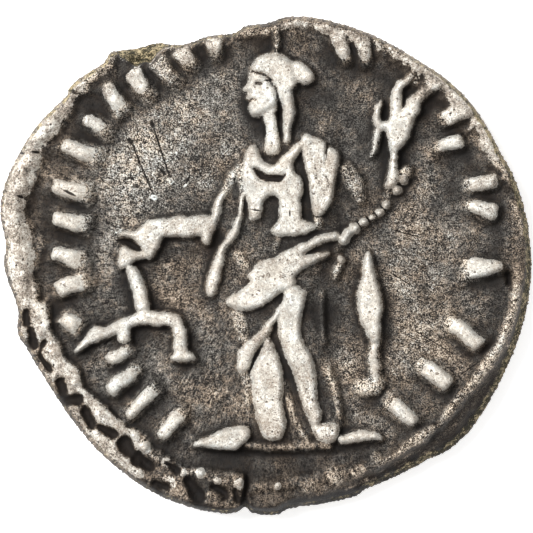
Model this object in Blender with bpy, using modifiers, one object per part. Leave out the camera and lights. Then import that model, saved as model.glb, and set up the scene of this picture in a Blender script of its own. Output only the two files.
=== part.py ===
"""Silver denarius, lying with its standing figure up.

One hammered coin: an uneven round blank struck between two dies. The upper face has a draped figure
with scales and a horn of plenty, a row of strokes round it and a worn border that runs off the blank.
The lower face has a laureate head in profile. Both faces are worn flat at their highest places, and the
coin rests on the lower one. X runs to the right and Y to the top of the upper face, and Z is up.
"""
import math

import bmesh
import bpy
import numpy as np

MM = 0.001

# Blank
FLAN_RADIUS = 8.7 * MM
FIELD_THICKNESS = 1.05 * MM
EDGE_BULGE = 0.12 * MM
EDGE_ROUND = 0.35 * MM
EDGE_DROP = 0.18 * MM

# Struck relief: the height of each face's, and the unit that both dies are drawn in
REVERSE_RELIEF = 0.5 * MM
OBVERSE_RELIEF = 0.5 * MM
DIE_UNIT = 1.0 * MM

# Mesh
GRID_CELLS = 200
TRIANGLE_BUDGET = 9400
FLAT_BAND = 0.025 * MM

# Where the hammered outline turns: bearing in degrees from +X, and radius as a share of FLAN_RADIUS
OUTLINE = (
    (0, 1.040), (10, 1.038), (20, 1.033), (26, 1.021), (38, 1.026), (47, 1.017), (55, 1.002),
    (66, 0.998), (83, 0.989), (90, 0.954), (95, 0.946), (98, 0.924), (104, 0.931), (111, 0.931),
    (116, 0.976), (121, 0.998), (126, 1.037), (129, 1.023), (137, 1.045), (140, 1.032), (148, 1.054),
    (155, 1.066), (162, 1.074), (168, 1.067), (175, 1.026), (180, 1.029), (187, 0.997), (191, 0.991),
    (195, 1.010), (200, 0.989), (211, 0.970), (225, 0.976), (240, 0.989), (250, 0.991), (259, 0.985),
    (263, 0.971), (265, 0.948), (267, 0.969), (272, 0.976), (277, 0.952), (291, 0.966), (295, 0.957),
    (309, 0.985), (314, 1.011), (321, 1.025), (334, 1.023), (347, 1.032),
)

# A piece broken from the upper face at its edge: the line round it in shares of FLAN_RADIUS, its slope and
# how deep the lower layer lies
BREAK_LINE = (
    (-0.644, 0.874), (-0.598, 0.833), (-0.546, 0.799), (-0.494, 0.777),
    (-0.448, 0.791), (-0.414, 0.833), (-0.356, 0.862), (-0.310, 0.891), (-0.483, 1.057),
)
BREAK_SLOPE = 0.2 * MM
BREAK_DEPTH = 0.55 * MM

# From here down, places and widths are in DIE_UNIT and heights are shares of the face's relief.

# Struck forms: how far a form's foot spreads beyond its line, how wide its flanks are, and where wear stops
FOOT = 0.12
FLANK = 0.2
FINE_FLANK = 0.18
WORN_LEVEL = 0.94

# Rim that rises towards the edge: bearing about the middle, how far in from the edge it reaches, and height
REVERSE_RIM = (
    (0, 0.45, 0.5), (20, 0.4, 0.5), (35, 0.5, 0.62), (58, 0.45, 0.66), (75, 0.5, 0.7), (95, 0.35, 0.66),
    (112, 0.25, 0.6), (128, 0.3, 0.62), (138, 0.42, 0.76), (146, 0.75, 0.82), (160, 1.0, 0.84),
    (176, 1.05, 0.82), (188, 0.9, 0.76), (200, 0.3, 0.72), (225, 0.25, 0.7), (262, 0.3, 0.6), (268, 0.6, 0.3),
    (300, 0.3, 0.1), (345, 0.2, 0.1), (352, 0.35, 0.35), (360, 0.45, 0.5),
)
OBVERSE_RIM = ((0, 0.85, 1.08), (360, 0.85, 1.08))
RIM_FLANK = 0.4

# Broad border at the lower left, where ring and rim have run together: points round it, flanks and height
BORDER_PATCHES = (
    (((-7.6, -1.25), (-7.4, -1.7), (-7.35, -2.2), (-7.05, -2.65), (-6.9, -3.1), (-6.45, -3.5), (-6.25, -4.05),
      (-5.7, -4.6), (-5.15, -5.05), (-4.75, -5.5), (-4.3, -5.8), (-4.6, -8.0), (-6.4, -6.6), (-8.2, -4.3),
      (-9.2, -1.4)), 0.2, 0.72),
    (((-4.4, -5.75), (-3.85, -6.25), (-3.35, -6.5), (-2.9, -6.8), (-2.2, -6.88), (-1.6, -7.0), (-1.15, -7.05),
      (-0.8, -7.3), (-0.75, -8.7), (-3.8, -8.5), (-4.9, -7.8)), 0.2, 0.55),
)
# Worn ring of the border at the lower left and right and under the ground line: points, half widths and height
REVERSE_BORDER = (
    (((-7.75, -1.5), (-7.6, -2.2), (-7.25, -2.85), (-6.85, -3.5), (-6.5, -4.1), (-6.05, -4.65), (-5.6, -5.0),
      (-5.1, -5.4), (-4.55, -5.8), (-4.15, -6.1), (-3.8, -6.5), (-3.4, -6.65), (-2.9, -6.95), (-2.3, -7.0),
      (-1.85, -7.2), (-1.35, -7.34), (-0.9, -7.22)),
     (0.1, 0.2, 0.17, 0.24, 0.14, 0.2, 0.14, 0.18, 0.12, 0.2, 0.1, 0.15, 0.08, 0.1, 0.16, 0.12, 0.08), 0.9),
    (((8.55, -0.7), (8.4, -1.4), (8.2, -2.05), (7.9, -2.7), (7.55, -3.25), (7.2, -3.75), (6.8, -4.25),
      (6.45, -4.7), (6.05, -5.15), (5.65, -5.5), (5.25, -5.8), (4.85, -6.05), (4.45, -6.4), (3.9, -6.7)),
     (0.16, 0.2, 0.22, 0.22, 0.22, 0.2, 0.2, 0.16, 0.13, 0.14, 0.22, 0.16, 0.12, 0.1), 0.72),
    (((-0.4, -7.5), (0.8, -7.35), (2.2, -7.1), (3.2, -6.9), (3.9, -6.7)), (0.12, 0.16, 0.12), 0.4),
)
# Dark pits between the border's beads: the points along each, its half widths and its depth
REVERSE_PITS = (
    (((-8.1, -1.1), (-8.25, -1.9)), (0.26, 0.2), 0.6), (((-8.1, -2.1), (-7.9, -2.6)), (0.17, 0.24), 0.6),
    (((-7.55, -2.6), (-7.72, -3.0), (-7.35, -3.45)), (0.14, 0.1, 0.16), 0.55),
    (((-7.75, -3.4), (-7.6, -3.7)), (0.1,), 0.5), (((-7.05, -3.9), (-6.9, -4.25)), (0.22,), 0.6),
    (((-7.0, -4.55), (-6.4, -4.55)), (0.22, 0.26), 0.6), (((-6.15, -4.95), (-5.95, -5.4)), (0.26, 0.24), 0.6),
    (((-5.65, -5.45), (-5.25, -5.7)), (0.17, 0.26), 0.6),
    (((-4.85, -6.05), (-4.65, -6.35)), (0.33, 0.26), 0.65),
    (((-4.4, -6.55), (-4.0, -6.8)), (0.3, 0.24), 0.65), (((-3.4, -6.7), (-3.1, -6.9)), (0.12, 0.2), 0.55),
    (((-3.8, -7.4), (-3.4, -7.5)), (0.17,), 0.5), (((-2.65, -7.3), (-2.35, -7.8)), (0.26, 0.33), 0.6),
    (((-1.85, -7.5), (-1.4, -7.68)), (0.12, 0.18), 0.55), (((-1.5, -8.0), (-1.3, -7.85)), (0.07, 0.12), 0.45),
    (((-1.05, -7.6), (-0.95, -7.95)), (0.1, 0.16), 0.5),
    (((-5.25, -4.9), (-4.95, -5.2)), (0.12, 0.06), 0.4), (((-6.8, -5.3), (-6.6, -5.5)), (0.08,), 0.45),
    (((-5.6, -6.4), (-5.4, -6.6)), (0.1,), 0.45), (((-3.0, -8.1), (-2.7, -8.2)), (0.1,), 0.4),
    (((8.25, -0.3), (8.25, -0.6)), (0.13,), 0.5), (((5.72, -5.3), (5.8, -5.32)), (0.09,), 0.4),
)

# Border ring of the lower face, and the pits between its beads
OBVERSE_CENTRE = (0.0, 0.0)
BORDER_RADIUS = 8.1
BORDER_HALF_WIDTH = 0.14
BORDER_HEIGHT = 0.62
BEAD_COUNT = 62
PIT_RADIUS = 0.27
PIT_OFFSET = 0.4
PIT_DEPTH = 0.5

# Strokes of the upper face: the crisp end of each and the end where it fades, and its half width there
STROKE_HEIGHT = 0.86
STROKE_FADE = 0.3
STROKE_SKIRT = 0.12
SKIRT_HEIGHT = 0.36
REVERSE_STROKES = (
    ((7.8, 1.82), (6.75, 2.1), (0.24, 0.15)), ((7.85, 2.95), (6.7, 2.72), (0.2, 0.22)),
    ((6.62, 4.3), (5.72, 4.02), (0.2, 0.15)), ((6.95, 5.42), (5.85, 4.95), (0.2, 0.26)),
    ((3.2, 7.75), (3.4, 6.9), (0.2, 0.12)), ((2.4, 7.85), (2.75, 6.95), (0.22, 0.14)),
    ((-1.8, 7.8), (-1.72, 7.1), (0.28, 0.1)), ((-2.95, 7.4), (-2.55, 6.8), (0.22, 0.14)),
    ((-3.75, 7.0), (-3.15, 6.25), (0.27, 0.18)), ((-4.6, 6.6), (-4.0, 5.85), (0.25, 0.15)),
    ((-5.45, 6.1), (-4.85, 5.2), (0.15, 0.27)), ((-6.15, 4.95), (-5.35, 4.55), (0.12, 0.2)),
    ((-6.9, 4.15), (-5.7, 3.65), (0.2, 0.25)), ((-7.25, 2.78), (-6.0, 2.42), (0.22, 0.28)),
    ((-7.25, 1.68), (-6.05, 1.4), (0.2, 0.28)), ((-7.3, 0.48), (-6.15, 0.15), (0.17, 0.3)),
    ((-7.1, -0.78), (-6.1, -0.42), (0.22, 0.27)), ((-6.95, -1.75), (-6.35, -2.15), (0.18, 0.26)),
    ((-5.35, -3.2), (-4.6, -2.8), (0.17, 0.14)), ((-5.3, -4.2), (-4.35, -3.4), (0.2, 0.16)),
    ((-4.75, -5.1), (-3.7, -4.0), (0.12, 0.24)), ((-3.6, -5.8), (-2.8, -4.8), (0.15, 0.22)),
    ((5.05, -5.3), (4.15, -4.55), (0.17, 0.26)), ((6.2, -4.0), (5.2, -3.25), (0.24, 0.22)),
    ((7.25, -2.65), (6.1, -1.8), (0.24, 0.2)), ((8.0, 0.02), (6.65, -0.12), (0.15, 0.4)),
)

# Ridges: the points along each, its half widths from end to end, and its height
ARM_RIDGES = (
    # upper arm in shade, and the far sleeve's end
    (((-0.88, 3.4), (-1.2, 2.9), (-1.48, 2.4)), (0.12, 0.16, 0.13), 0.72),
    (((1.72, 1.75), (1.82, 1.4)), (0.15, 0.1), 0.6),
)
SKIRT_RIDGES = (
    # mantle over the shoulder, and small folds under the girdle
    (((-0.78, 3.5), (-0.84, 2.9), (-0.78, 2.4)), (0.06,), 0.7),
    (((0.38, 0.9), (0.3, 0.5)), (0.1,), 0.56),
    (((-0.9, 0.35), (-0.75, 0.0)), (0.2, 0.12), 0.56),
    # folds down the skirt
    (((-0.76, -3.5), (-0.68, -4.0), (-0.6, -4.7)), (0.17, 0.13, 0.06), 0.64),
    (((-1.0, -1.6), (-0.88, -2.1), (-0.78, -2.6)), (0.17, 0.2, 0.08), 0.64),
    (((0.6, -3.9), (0.8, -4.8), (0.95, -5.3)), (0.05, 0.1, 0.05), 0.56),
    (((0.9, -5.0), (1.4, -6.0)), (0.06,), 0.52),
    (((1.8, -0.9), (1.9, -1.7), (1.95, -2.6)), (0.06,), 0.5),
    (((2.08, -3.5), (2.35, -4.4), (2.5, -5.1)), (0.07, 0.1, 0.05), 0.6),
    # cloth beside the far sleeve
    (((2.75, 3.3), (3.0, 2.8), (3.2, 2.2)), (0.22, 0.25, 0.1), 0.52),
)
FOOT_RIDGES = (
    (((2.6, -5.9), (3.1, -5.76), (3.5, -5.75), (3.88, -5.86)), (0.09, 0.14, 0.12, 0.05), 0.8),
    # ground line
    (((-0.7, -6.1), (0.2, -6.12), (1.0, -6.12), (2.1, -6.13)), (0.08,), 0.5),
)
CLOTH_END_RIDGES = (
    (((3.65, -2.5), (3.68, -3.1), (3.72, -3.8)), (0.15, 0.14, 0.12), 0.72),
)
HORN_RIDGES = (
    # tip, and the stem that carries the beads
    (((2.42, 0.0), (2.32, -0.35)), (0.1, 0.07), 0.65),
    (((2.45, 0.6), (2.75, 1.05), (3.3, 1.5), (3.8, 1.87), (4.08, 2.12), (4.2, 2.7)), (0.13, 0.1), 0.6),
    # sprays that rise from its mouth and fall beside it
    (((4.95, 5.5), (5.3, 5.85), (5.6, 6.05), (5.95, 6.2)), (0.17, 0.12, 0.07), 0.8),
    (((4.42, 5.2), (4.4, 5.8), (4.48, 6.15), (4.75, 6.3), (5.0, 6.5)), (0.15, 0.14, 0.12, 0.08, 0.04), 0.86),
    (((4.2, 4.8), (3.95, 4.76), (3.77, 4.95), (3.74, 5.35), (3.9, 5.6)), (0.15, 0.13, 0.09, 0.07, 0.04), 0.84),
    (((3.88, 4.75), (3.73, 4.3), (3.55, 3.75)), (0.13, 0.1, 0.05), 0.72),
    (((4.5, 3.0), (4.75, 3.2), (4.86, 3.32)), (0.13, 0.15, 0.1), 0.68),
)
# Beads of the horn: place, radius and height
HORN_BEADS = (
    (2.53, 0.22, 0.16, 0.92), (2.62, 0.92, 0.2, 0.95), (2.8, 1.1, 0.18, 0.92), (2.98, 1.33, 0.24, 1.0),
    (3.31, 1.52, 0.19, 1.0), (3.58, 1.7, 0.12, 0.7), (3.81, 1.87, 0.19, 1.0), (4.08, 2.09, 0.17, 1.0),
    (4.48, 2.6, 0.19, 0.98), (4.72, 3.0, 0.2, 0.72),
)

# Broad surfaces: points round each, width of its flanks and height
BODY_PATCHES = (
    # cloth in shadow, which the folds stand on
    (((-0.5, 4.3), (0.6, 4.4), (1.6, 4.5), (2.4, 4.1), (2.5, 3.0), (2.3, 1.8), (2.4, 1.0), (1.7, -0.5),
      (1.9, -2.2), (2.3, -4.0), (2.6, -5.4), (1.6, -6.0), (-0.6, -5.9), (-1.1, -4.6), (-1.3, -2.6),
      (-1.7, -1.2), (-2.0, -0.6), (-1.6, 0.9), (-1.9, 1.4), (-1.7, 2.4), (-0.9, 3.6)), 0.5, 0.33),
    # bodice: along the neckline, down to the girdle and up its other side
    (((-0.62, 3.98), (-0.42, 4.05), (-0.25, 3.8), (-0.1, 3.57), (0.12, 3.43), (0.35, 3.48), (0.65, 3.8),
      (1.0, 4.08), (1.2, 4.15), (1.06, 3.85), (0.9, 3.6), (0.88, 3.3), (1.05, 3.1), (1.18, 2.9),
      (1.2, 2.65), (1.1, 2.3), (1.08, 1.9), (1.15, 1.6), (1.5, 1.48), (1.7, 1.38), (1.5, 1.25),
      (1.1, 1.12), (0.75, 1.06), (0.4, 1.02), (0.15, 1.2), (0.32, 1.38), (0.42, 1.65), (0.47, 2.0),
      (0.48, 2.3), (0.3, 2.43), (0.1, 2.4), (-0.08, 2.2), (-0.18, 1.95), (-0.25, 1.65), (-0.4, 1.55),
      (-0.52, 1.7), (-0.56, 2.1), (-0.64, 2.45), (-0.75, 2.9), (-0.77, 3.4)), 0.2, 1.0),
    # sleeve over the far arm
    (((1.2, 4.2), (1.38, 4.45), (1.65, 4.4), (1.9, 4.25), (2.08, 4.07), (2.25, 4.0), (2.4, 3.85),
      (2.38, 3.3), (2.3, 2.8), (2.18, 2.4), (2.0, 2.0), (1.85, 1.8), (1.68, 1.78), (1.55, 2.0),
      (1.5, 2.5), (1.46, 3.0), (1.38, 3.5), (1.27, 3.9)), 0.2, 1.0),
    # near arm from the shoulder to the fingers, and the thumb's side of the hand
    (((-1.42, 2.5), (-1.55, 1.95), (-1.7, 1.5), (-1.85, 1.1), (-1.98, 0.78), (-2.12, 0.82), (-2.25, 1.05),
      (-2.7, 1.05), (-3.2, 1.02), (-3.55, 1.03), (-3.62, 0.85), (-3.72, 0.6), (-3.88, 0.38),
      (-4.02, 0.25), (-4.12, 0.45), (-4.28, 0.65), (-4.42, 0.9), (-4.55, 1.05), (-4.92, 1.12),
      (-4.75, 1.22), (-4.4, 1.2), (-4.15, 1.32), (-3.95, 1.55), (-3.65, 1.6), (-3.35, 1.55),
      (-3.1, 1.68), (-2.6, 1.7), (-2.1, 1.68), (-1.85, 1.72), (-1.75, 2.05), (-1.6, 2.4)), 0.22, 1.0),
    (((-5.02, 0.05), (-5.0, 0.35), (-4.92, 0.6), (-4.6, 0.48), (-4.3, 0.45), (-4.1, 0.32), (-4.4, 0.25),
      (-4.6, 0.12), (-4.75, -0.04), (-4.95, -0.06)), 0.18, 0.88),
    # long edge of the mantle
    (((-0.78, 2.5), (-0.86, 2.1), (-0.97, 1.7), (-1.1, 1.4), (-1.3, 1.05), (-1.5, 0.65), (-1.68, 0.3),
      (-1.88, -0.1), (-2.03, -0.5), (-2.03, -0.85), (-1.87, -0.98), (-1.75, -0.75), (-1.62, -0.35),
      (-1.5, 0.1), (-1.38, 0.5), (-1.18, 0.9), (-1.0, 1.2), (-0.88, 1.6), (-0.8, 2.1)), 0.18, 0.94),
    # mantle gathered across the hips
    (((-0.6, -0.35), (-0.5, -0.1), (-0.3, 0.1), (0.0, 0.2), (0.35, 0.27), (0.7, 0.5), (1.05, 0.68),
      (1.5, 0.9), (2.0, 1.08), (2.42, 1.12), (2.42, 0.95), (2.0, 0.87), (1.65, 0.72), (1.35, 0.5),
      (1.25, 0.35), (1.5, 0.38), (1.85, 0.42), (2.08, 0.42), (1.95, 0.3), (1.6, 0.12), (1.2, -0.12),
      (0.95, -0.35), (0.95, -0.55), (0.75, -0.72), (0.45, -0.85), (0.1, -1.12), (-0.25, -1.33),
      (-0.6, -1.45), (-1.0, -1.4), (-1.3, -1.28), (-1.37, -1.12), (-1.15, -0.98), (-0.85, -0.87),
      (-0.55, -0.65), (-0.5, -0.48)), 0.22, 1.0),
    # far leg under its cloth, and its foot
    (((0.68, -0.8), (0.95, -0.66), (1.15, -0.78), (1.28, -0.9), (1.25, -1.25), (1.15, -1.65),
      (1.12, -2.05), (1.18, -2.4), (1.35, -2.8), (1.53, -3.2), (1.63, -3.7), (1.67, -4.2),
      (1.72, -4.6), (1.8, -5.1), (1.72, -5.4), (1.55, -5.35), (1.4, -5.05), (1.25, -4.7),
      (1.1, -4.2), (0.97, -3.75), (0.8, -3.3), (0.6, -2.85), (0.47, -2.4), (0.43, -1.95),
      (0.53, -1.5), (0.62, -1.15)), 0.22, 0.95),
    (((1.58, -5.48), (1.9, -5.4), (2.4, -5.4), (2.46, -5.65), (2.3, -5.92), (1.95, -5.98), (1.72, -5.78)),
     0.2, 0.86),
    # panel of the skirt between the legs, and the fold that crosses to the knee
    (((-0.02, -2.45), (-0.15, -3.0), (-0.4, -3.45), (-0.47, -3.9), (-0.42, -4.4), (-0.33, -5.0),
      (-0.22, -5.5), (0.0, -5.8), (0.35, -5.85), (0.58, -5.65), (0.63, -5.2), (0.52, -4.7),
      (0.52, -4.1), (0.46, -3.5), (0.33, -3.0), (0.12, -2.55)), 0.25, 1.0),
    (((0.52, -1.38), (0.2, -1.78), (-0.12, -2.15), (-0.5, -2.48), (-0.8, -2.75), (-0.97, -3.05),
      (-1.0, -3.4), (-0.85, -3.6), (-0.62, -3.5), (-0.52, -3.2), (-0.42, -2.95), (-0.25, -2.65),
      (0.02, -2.3), (0.3, -1.85), (0.5, -1.6)), 0.17, 0.93),
    # near foot
    (((-2.5, -6.02), (-2.1, -5.85), (-1.8, -5.65), (-1.5, -5.52), (-1.1, -5.5), (-0.7, -5.5), (-0.68, -5.75),
      (-0.85, -6.0), (-1.1, -6.2), (-1.6, -6.2), (-2.1, -6.12)), 0.2, 0.95),
)
# Cloth that hangs at the far side, and the blob below it
CLOTH_END_PATCHES = (
    (((3.42, 0.45), (3.32, 0.1), (3.3, -0.3), (3.2, -0.75), (3.14, -1.25), (3.2, -1.75), (3.36, -2.15),
      (3.5, -2.5), (3.64, -2.6), (3.79, -2.45), (3.88, -2.0), (3.92, -1.5), (3.86, -1.0),
      (3.76, -0.45), (3.65, 0.0), (3.55, 0.4)), 0.22, 1.0),
    (((3.0, -3.95), (3.4, -3.85), (3.9, -3.78), (3.95, -4.2), (3.5, -4.35), (3.05, -4.3)), 0.25, 0.66),
)
# Scales: post, beam with both hangers, and the near pan
SCALES_PATCHES = (
    (((-4.7, -0.15), (-4.6, -0.6), (-4.5, -1.0), (-4.38, -1.5), (-4.02, -1.5), (-4.08, -0.95), (-4.2, -0.55),
      (-4.38, -0.2), (-4.55, -0.08)), 0.2, 0.96),
    (((-5.08, -2.0), (-4.9, -1.8), (-4.55, -1.66), (-4.15, -1.56), (-3.6, -1.6), (-3.2, -1.62),
      (-2.93, -1.75), (-2.8, -2.05), (-2.73, -2.5), (-2.72, -2.85), (-2.5, -3.02), (-2.45, -3.15),
      (-2.8, -3.2), (-3.25, -3.18), (-3.12, -2.95), (-3.1, -2.55), (-3.15, -2.15), (-3.28, -1.98),
      (-3.8, -1.96), (-4.35, -1.95), (-4.62, -2.05), (-4.68, -2.3), (-4.66, -2.5), (-4.8, -2.6),
      (-5.0, -2.5), (-5.02, -2.3)), 0.18, 0.97),
    (((-6.52, -2.86), (-6.3, -2.55), (-6.1, -2.3), (-5.85, -2.1), (-5.45, -2.08), (-5.05, -1.9),
      (-4.98, -2.08), (-5.25, -2.3), (-5.6, -2.45), (-6.0, -2.62), (-6.3, -2.8)), 0.18, 0.95),
)
# Body of the horn
HORN_PATCHES = (
    (((4.1, 2.75), (4.2, 3.3), (4.24, 3.8), (4.18, 4.3), (4.17, 4.8), (4.3, 5.12), (4.55, 5.2), (4.8, 5.5),
      (5.08, 5.65), (5.18, 5.4), (5.03, 5.1), (4.92, 4.8), (4.88, 4.5), (4.68, 4.2), (4.48, 3.95),
      (4.46, 3.4), (4.42, 2.95), (4.3, 2.72)), 0.2, 0.96),
)

# Slits: the points along each, its half widths from end to end, and its depth
CLOTH_SLITS = (
    # under the neckline, and the sleeve's groove
    (((-0.42, 3.4), (-0.15, 3.13), (0.15, 2.98), (0.45, 2.97), (0.64, 3.08)),
     (0.05, 0.13, 0.12, 0.1, 0.04), 0.55),
    (((2.06, 4.15), (2.04, 3.8), (2.02, 3.4)), (0.06, 0.05, 0.02), 0.4),
    # hollow of the hand
    (((-5.0, 0.88), (-4.65, 0.8), (-4.35, 0.62)), (0.13, 0.2, 0.12), 0.45),
    # under the ground line
    (((-2.4, -6.42), (-0.8, -6.42), (0.6, -6.42), (2.0, -6.4), (3.8, -6.2)),
     (0.05, 0.15, 0.16, 0.12, 0.04), 0.2),
)
# A crack that runs in from the lower edge, and a nick in the rim
DAMAGE_SLITS = (
    (((-0.73, -7.2), (-0.72, -8.4)), (0.06, 0.18), 1.2),
    (((-6.75, 6.05), (-6.45, 5.85)), (0.12, 0.05), 0.6),
)

# Head of the figure in profile to the left, drawn in shares of its height about its middle
HEAD_PLACE = (0.14, 6.14)
HEAD_HEIGHT = 2.2
HEAD_FLANK = 0.45
HEAD_LEVEL = 0.97
HEAD_OUTLINE = (
    (0.0, 0.5), (-0.2, 0.44), (-0.3, 0.27), (-0.315, 0.13), (-0.4, -0.05), (-0.33, -0.09), (-0.35, -0.19),
    (-0.31, -0.24), (-0.33, -0.36), (-0.25, -0.46), (-0.08, -0.42), (0.1, -0.3), (0.3, -0.12), (0.4, 0.12),
    (0.33, 0.36), (0.18, 0.47),
)
HEAD_RIDGES = (
    # neck, and the lock that falls beside it
    (((0.02, -0.4), (0.03, -0.7)), (0.12, 0.09), 0.6),
    (((0.26, -0.1), (0.28, -0.45), (0.25, -0.85)), (0.08, 0.07, 0.03), 0.9),
    # rolled hair and the knot behind
    (((-0.2, 0.38), (-0.04, 0.26), (0.12, 0.08), (0.3, 0.02)), (0.09, 0.08), 1.12),
    (((0.42, 0.22), (0.55, 0.14)), (0.14, 0.11), 0.85),
)
HEAD_SLITS = (
    # eye, mouth and the gap beside the neck
    (((-0.26, 0.06), (-0.18, 0.05)), (0.025,), 0.16),
    (((-0.31, -0.215), (-0.24, -0.21)), (0.018,), 0.14),
    (((0.1, -0.02), (0.13, -0.3), (0.15, -0.5)), (0.035, 0.05, 0.05), 0.35),
)

# Lower face: laureate head in profile to the right, drawn upright
PORTRAIT = (((-0.6, 5.6), (0.9, 5.4), (2.0, 4.7), (2.65, 3.6), (2.7, 2.6), (3.15, 1.75), (3.62, 1.05),
             (3.05, 0.72), (3.2, 0.35), (2.98, 0.05), (3.12, -0.3), (2.85, -0.65), (3.05, -1.3),
             (2.5, -1.95), (1.3, -2.05), (0.95, -3.6), (1.7, -5.4), (-0.4, -6.2), (-2.9, -5.3),
             (-2.5, -3.3), (-2.95, -1.3), (-3.7, 1.4), (-2.9, 4.2)), 1.1, 0.78)
PORTRAIT_FORMS = (
    # cheek, brow, nose, lips, chin and ear
    (((-0.3, 2.2), (1.4, 1.9), (2.5, 1.0), (2.3, -0.9), (1.8, -1.8), (0.5, -1.7), (-0.5, 0.0)), 1.9, 1.06),
    (((1.35, 2.8), (2.0, 3.05), (2.6, 2.95), (2.5, 2.7), (2.0, 2.75)), 0.25, 0.87),
    (((2.75, 2.3), (3.1, 1.7), (3.4, 1.15), (2.95, 0.95), (2.6, 1.5)), 0.3, 0.92),
    (((2.55, 0.3), (3.0, 0.4), (2.8, 0.05), (3.0, -0.25), (2.55, -0.3)), 0.3, 0.88),
    (((2.2, -1.0), (2.85, -0.95), (2.8, -1.5), (2.2, -1.6)), 0.4, 0.9),
    (((-0.75, 1.7), (-0.35, 1.85), (-0.15, 1.3), (-0.45, 0.6), (-0.75, 1.0)), 0.2, 0.98),
)
PORTRAIT_SLITS = (
    # lids, nostril, mouth and the line of the jaw
    (((1.6, 2.15), (2.1, 2.35), (2.5, 2.1)), (0.05, 0.09, 0.05), 0.3),
    (((1.75, 1.9), (2.1, 1.78), (2.4, 1.88)), (0.04, 0.06, 0.04), 0.22),
    (((2.7, 0.9), (2.9, 1.05)), (0.08, 0.05), 0.22),
    (((2.4, 0.02), (2.7, 0.08), (3.0, 0.05)), (0.05, 0.07, 0.07), 0.3),
    (((-0.2, -0.3), (0.2, -1.3), (1.2, -1.9)), (0.08, 0.12, 0.08), 0.2),
)
# Folds of cloth along the bust's edge, and the ribbons of the wreath
BUST_RIDGES = (
    (((-2.7, -4.6), (-1.2, -5.2), (1.2, -4.9)), (0.08, 0.2, 0.1), 0.88),
    (((-2.6, -5.2), (-0.8, -5.75), (1.4, -5.4)), (0.08, 0.2, 0.1), 0.88),
    (((-3.4, 1.4), (-4.1, 0.5), (-4.2, -0.6)), (0.13,), 0.7),
    (((-3.4, 1.2), (-3.7, 0.0), (-4.5, -1.4)), (0.13,), 0.7),
)
WREATH = ((2.35, 3.95), (1.0, 4.15), (-0.8, 3.6), (-2.2, 2.65), (-3.3, 1.6))
WREATH_LEAVES = 9
LEAF_LENGTH = 0.95
LEAF_WIDTHS = (0.05, 0.16, 0.04)
LEAF_SPREAD = 26
# Locks of hair: those above and below the wreath as rise from it and sweep back along it, and the nape's
LOCKS = 13
FIRST_LOWER_LOCK = 5
LOCK_WIDTHS = (0.07, 0.15, 0.05)
LOCK_HEIGHT = 0.92
UPPER_LOCK = ((0.4, 0.0), (0.85, -0.12), (1.35, -0.42))
LOWER_LOCK = ((-0.4, 0.0), (-0.95, 0.1), (-1.5, -0.05))
NAPE_LOCKS = (
    ((-2.0, 0.9), (-2.3, 0.1), (-2.0, -0.8)), ((-2.8, 0.6), (-3.0, -0.3), (-2.6, -1.3)),
    ((-1.3, 0.4), (-1.6, -0.4), (-1.4, -1.2)), ((-2.3, -0.9), (-2.5, -1.5), (-2.2, -2.2)),
)
# Ring of strokes on the lower face: how many, how many stand together, their size, and the gap over the head
OBVERSE_STROKES = 34
STROKE_GROUP = 5
OBVERSE_STROKE = (7.1, 0.45, 0.15)
OBVERSE_GAP = (58, 122)


def curve(points, closed=False, steps=5):
    """Smooth line through rows of points, which may carry a width as well."""
    knots = np.asarray(points, float)
    count = len(knots)
    if count == 2:
        share = np.linspace(0, 1, steps + 1)[:, None]
        return knots[0] * (1 - share) + knots[1] * share
    if closed:
        rim = np.vstack((knots[-1:], knots, knots[:2]))
    else:
        rim = np.vstack((2 * knots[:1] - knots[1:2], knots, 2 * knots[-1:] - knots[-2:-1]))
    share = np.linspace(0, 1, steps, endpoint=False)[:, None]
    rows = []
    for i in range(count if closed else count - 1):
        a, b, c, d = rim[i:i + 4]
        rows.append(0.5 * (2 * b + (c - a) * share + (2 * a - 5 * b + 4 * c - d) * share ** 2
                           + (3 * b - a - 3 * c + d) * share ** 3))
    if not closed:
        rows.append(knots[-1:])
    return np.vstack(rows)


def swept_line(points, widths):
    """Smooth line whose third column is the half width, spread evenly from end to end."""
    ends = np.linspace(0, 1, len(widths))
    spread = np.interp(np.linspace(0, 1, len(points)), ends, widths)
    return curve([(x, y, width) for (x, y), width in zip(points, spread)])


def rounded(share):
    """Profile that is steep at its foot and rounds over to its top."""
    return 1 - (1 - np.clip(share, 0, 1)) ** 2


def polar(centre, radius, degrees):
    angle = math.radians(degrees)
    return centre[0] + radius * math.cos(angle), centre[1] + radius * math.sin(angle)


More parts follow.
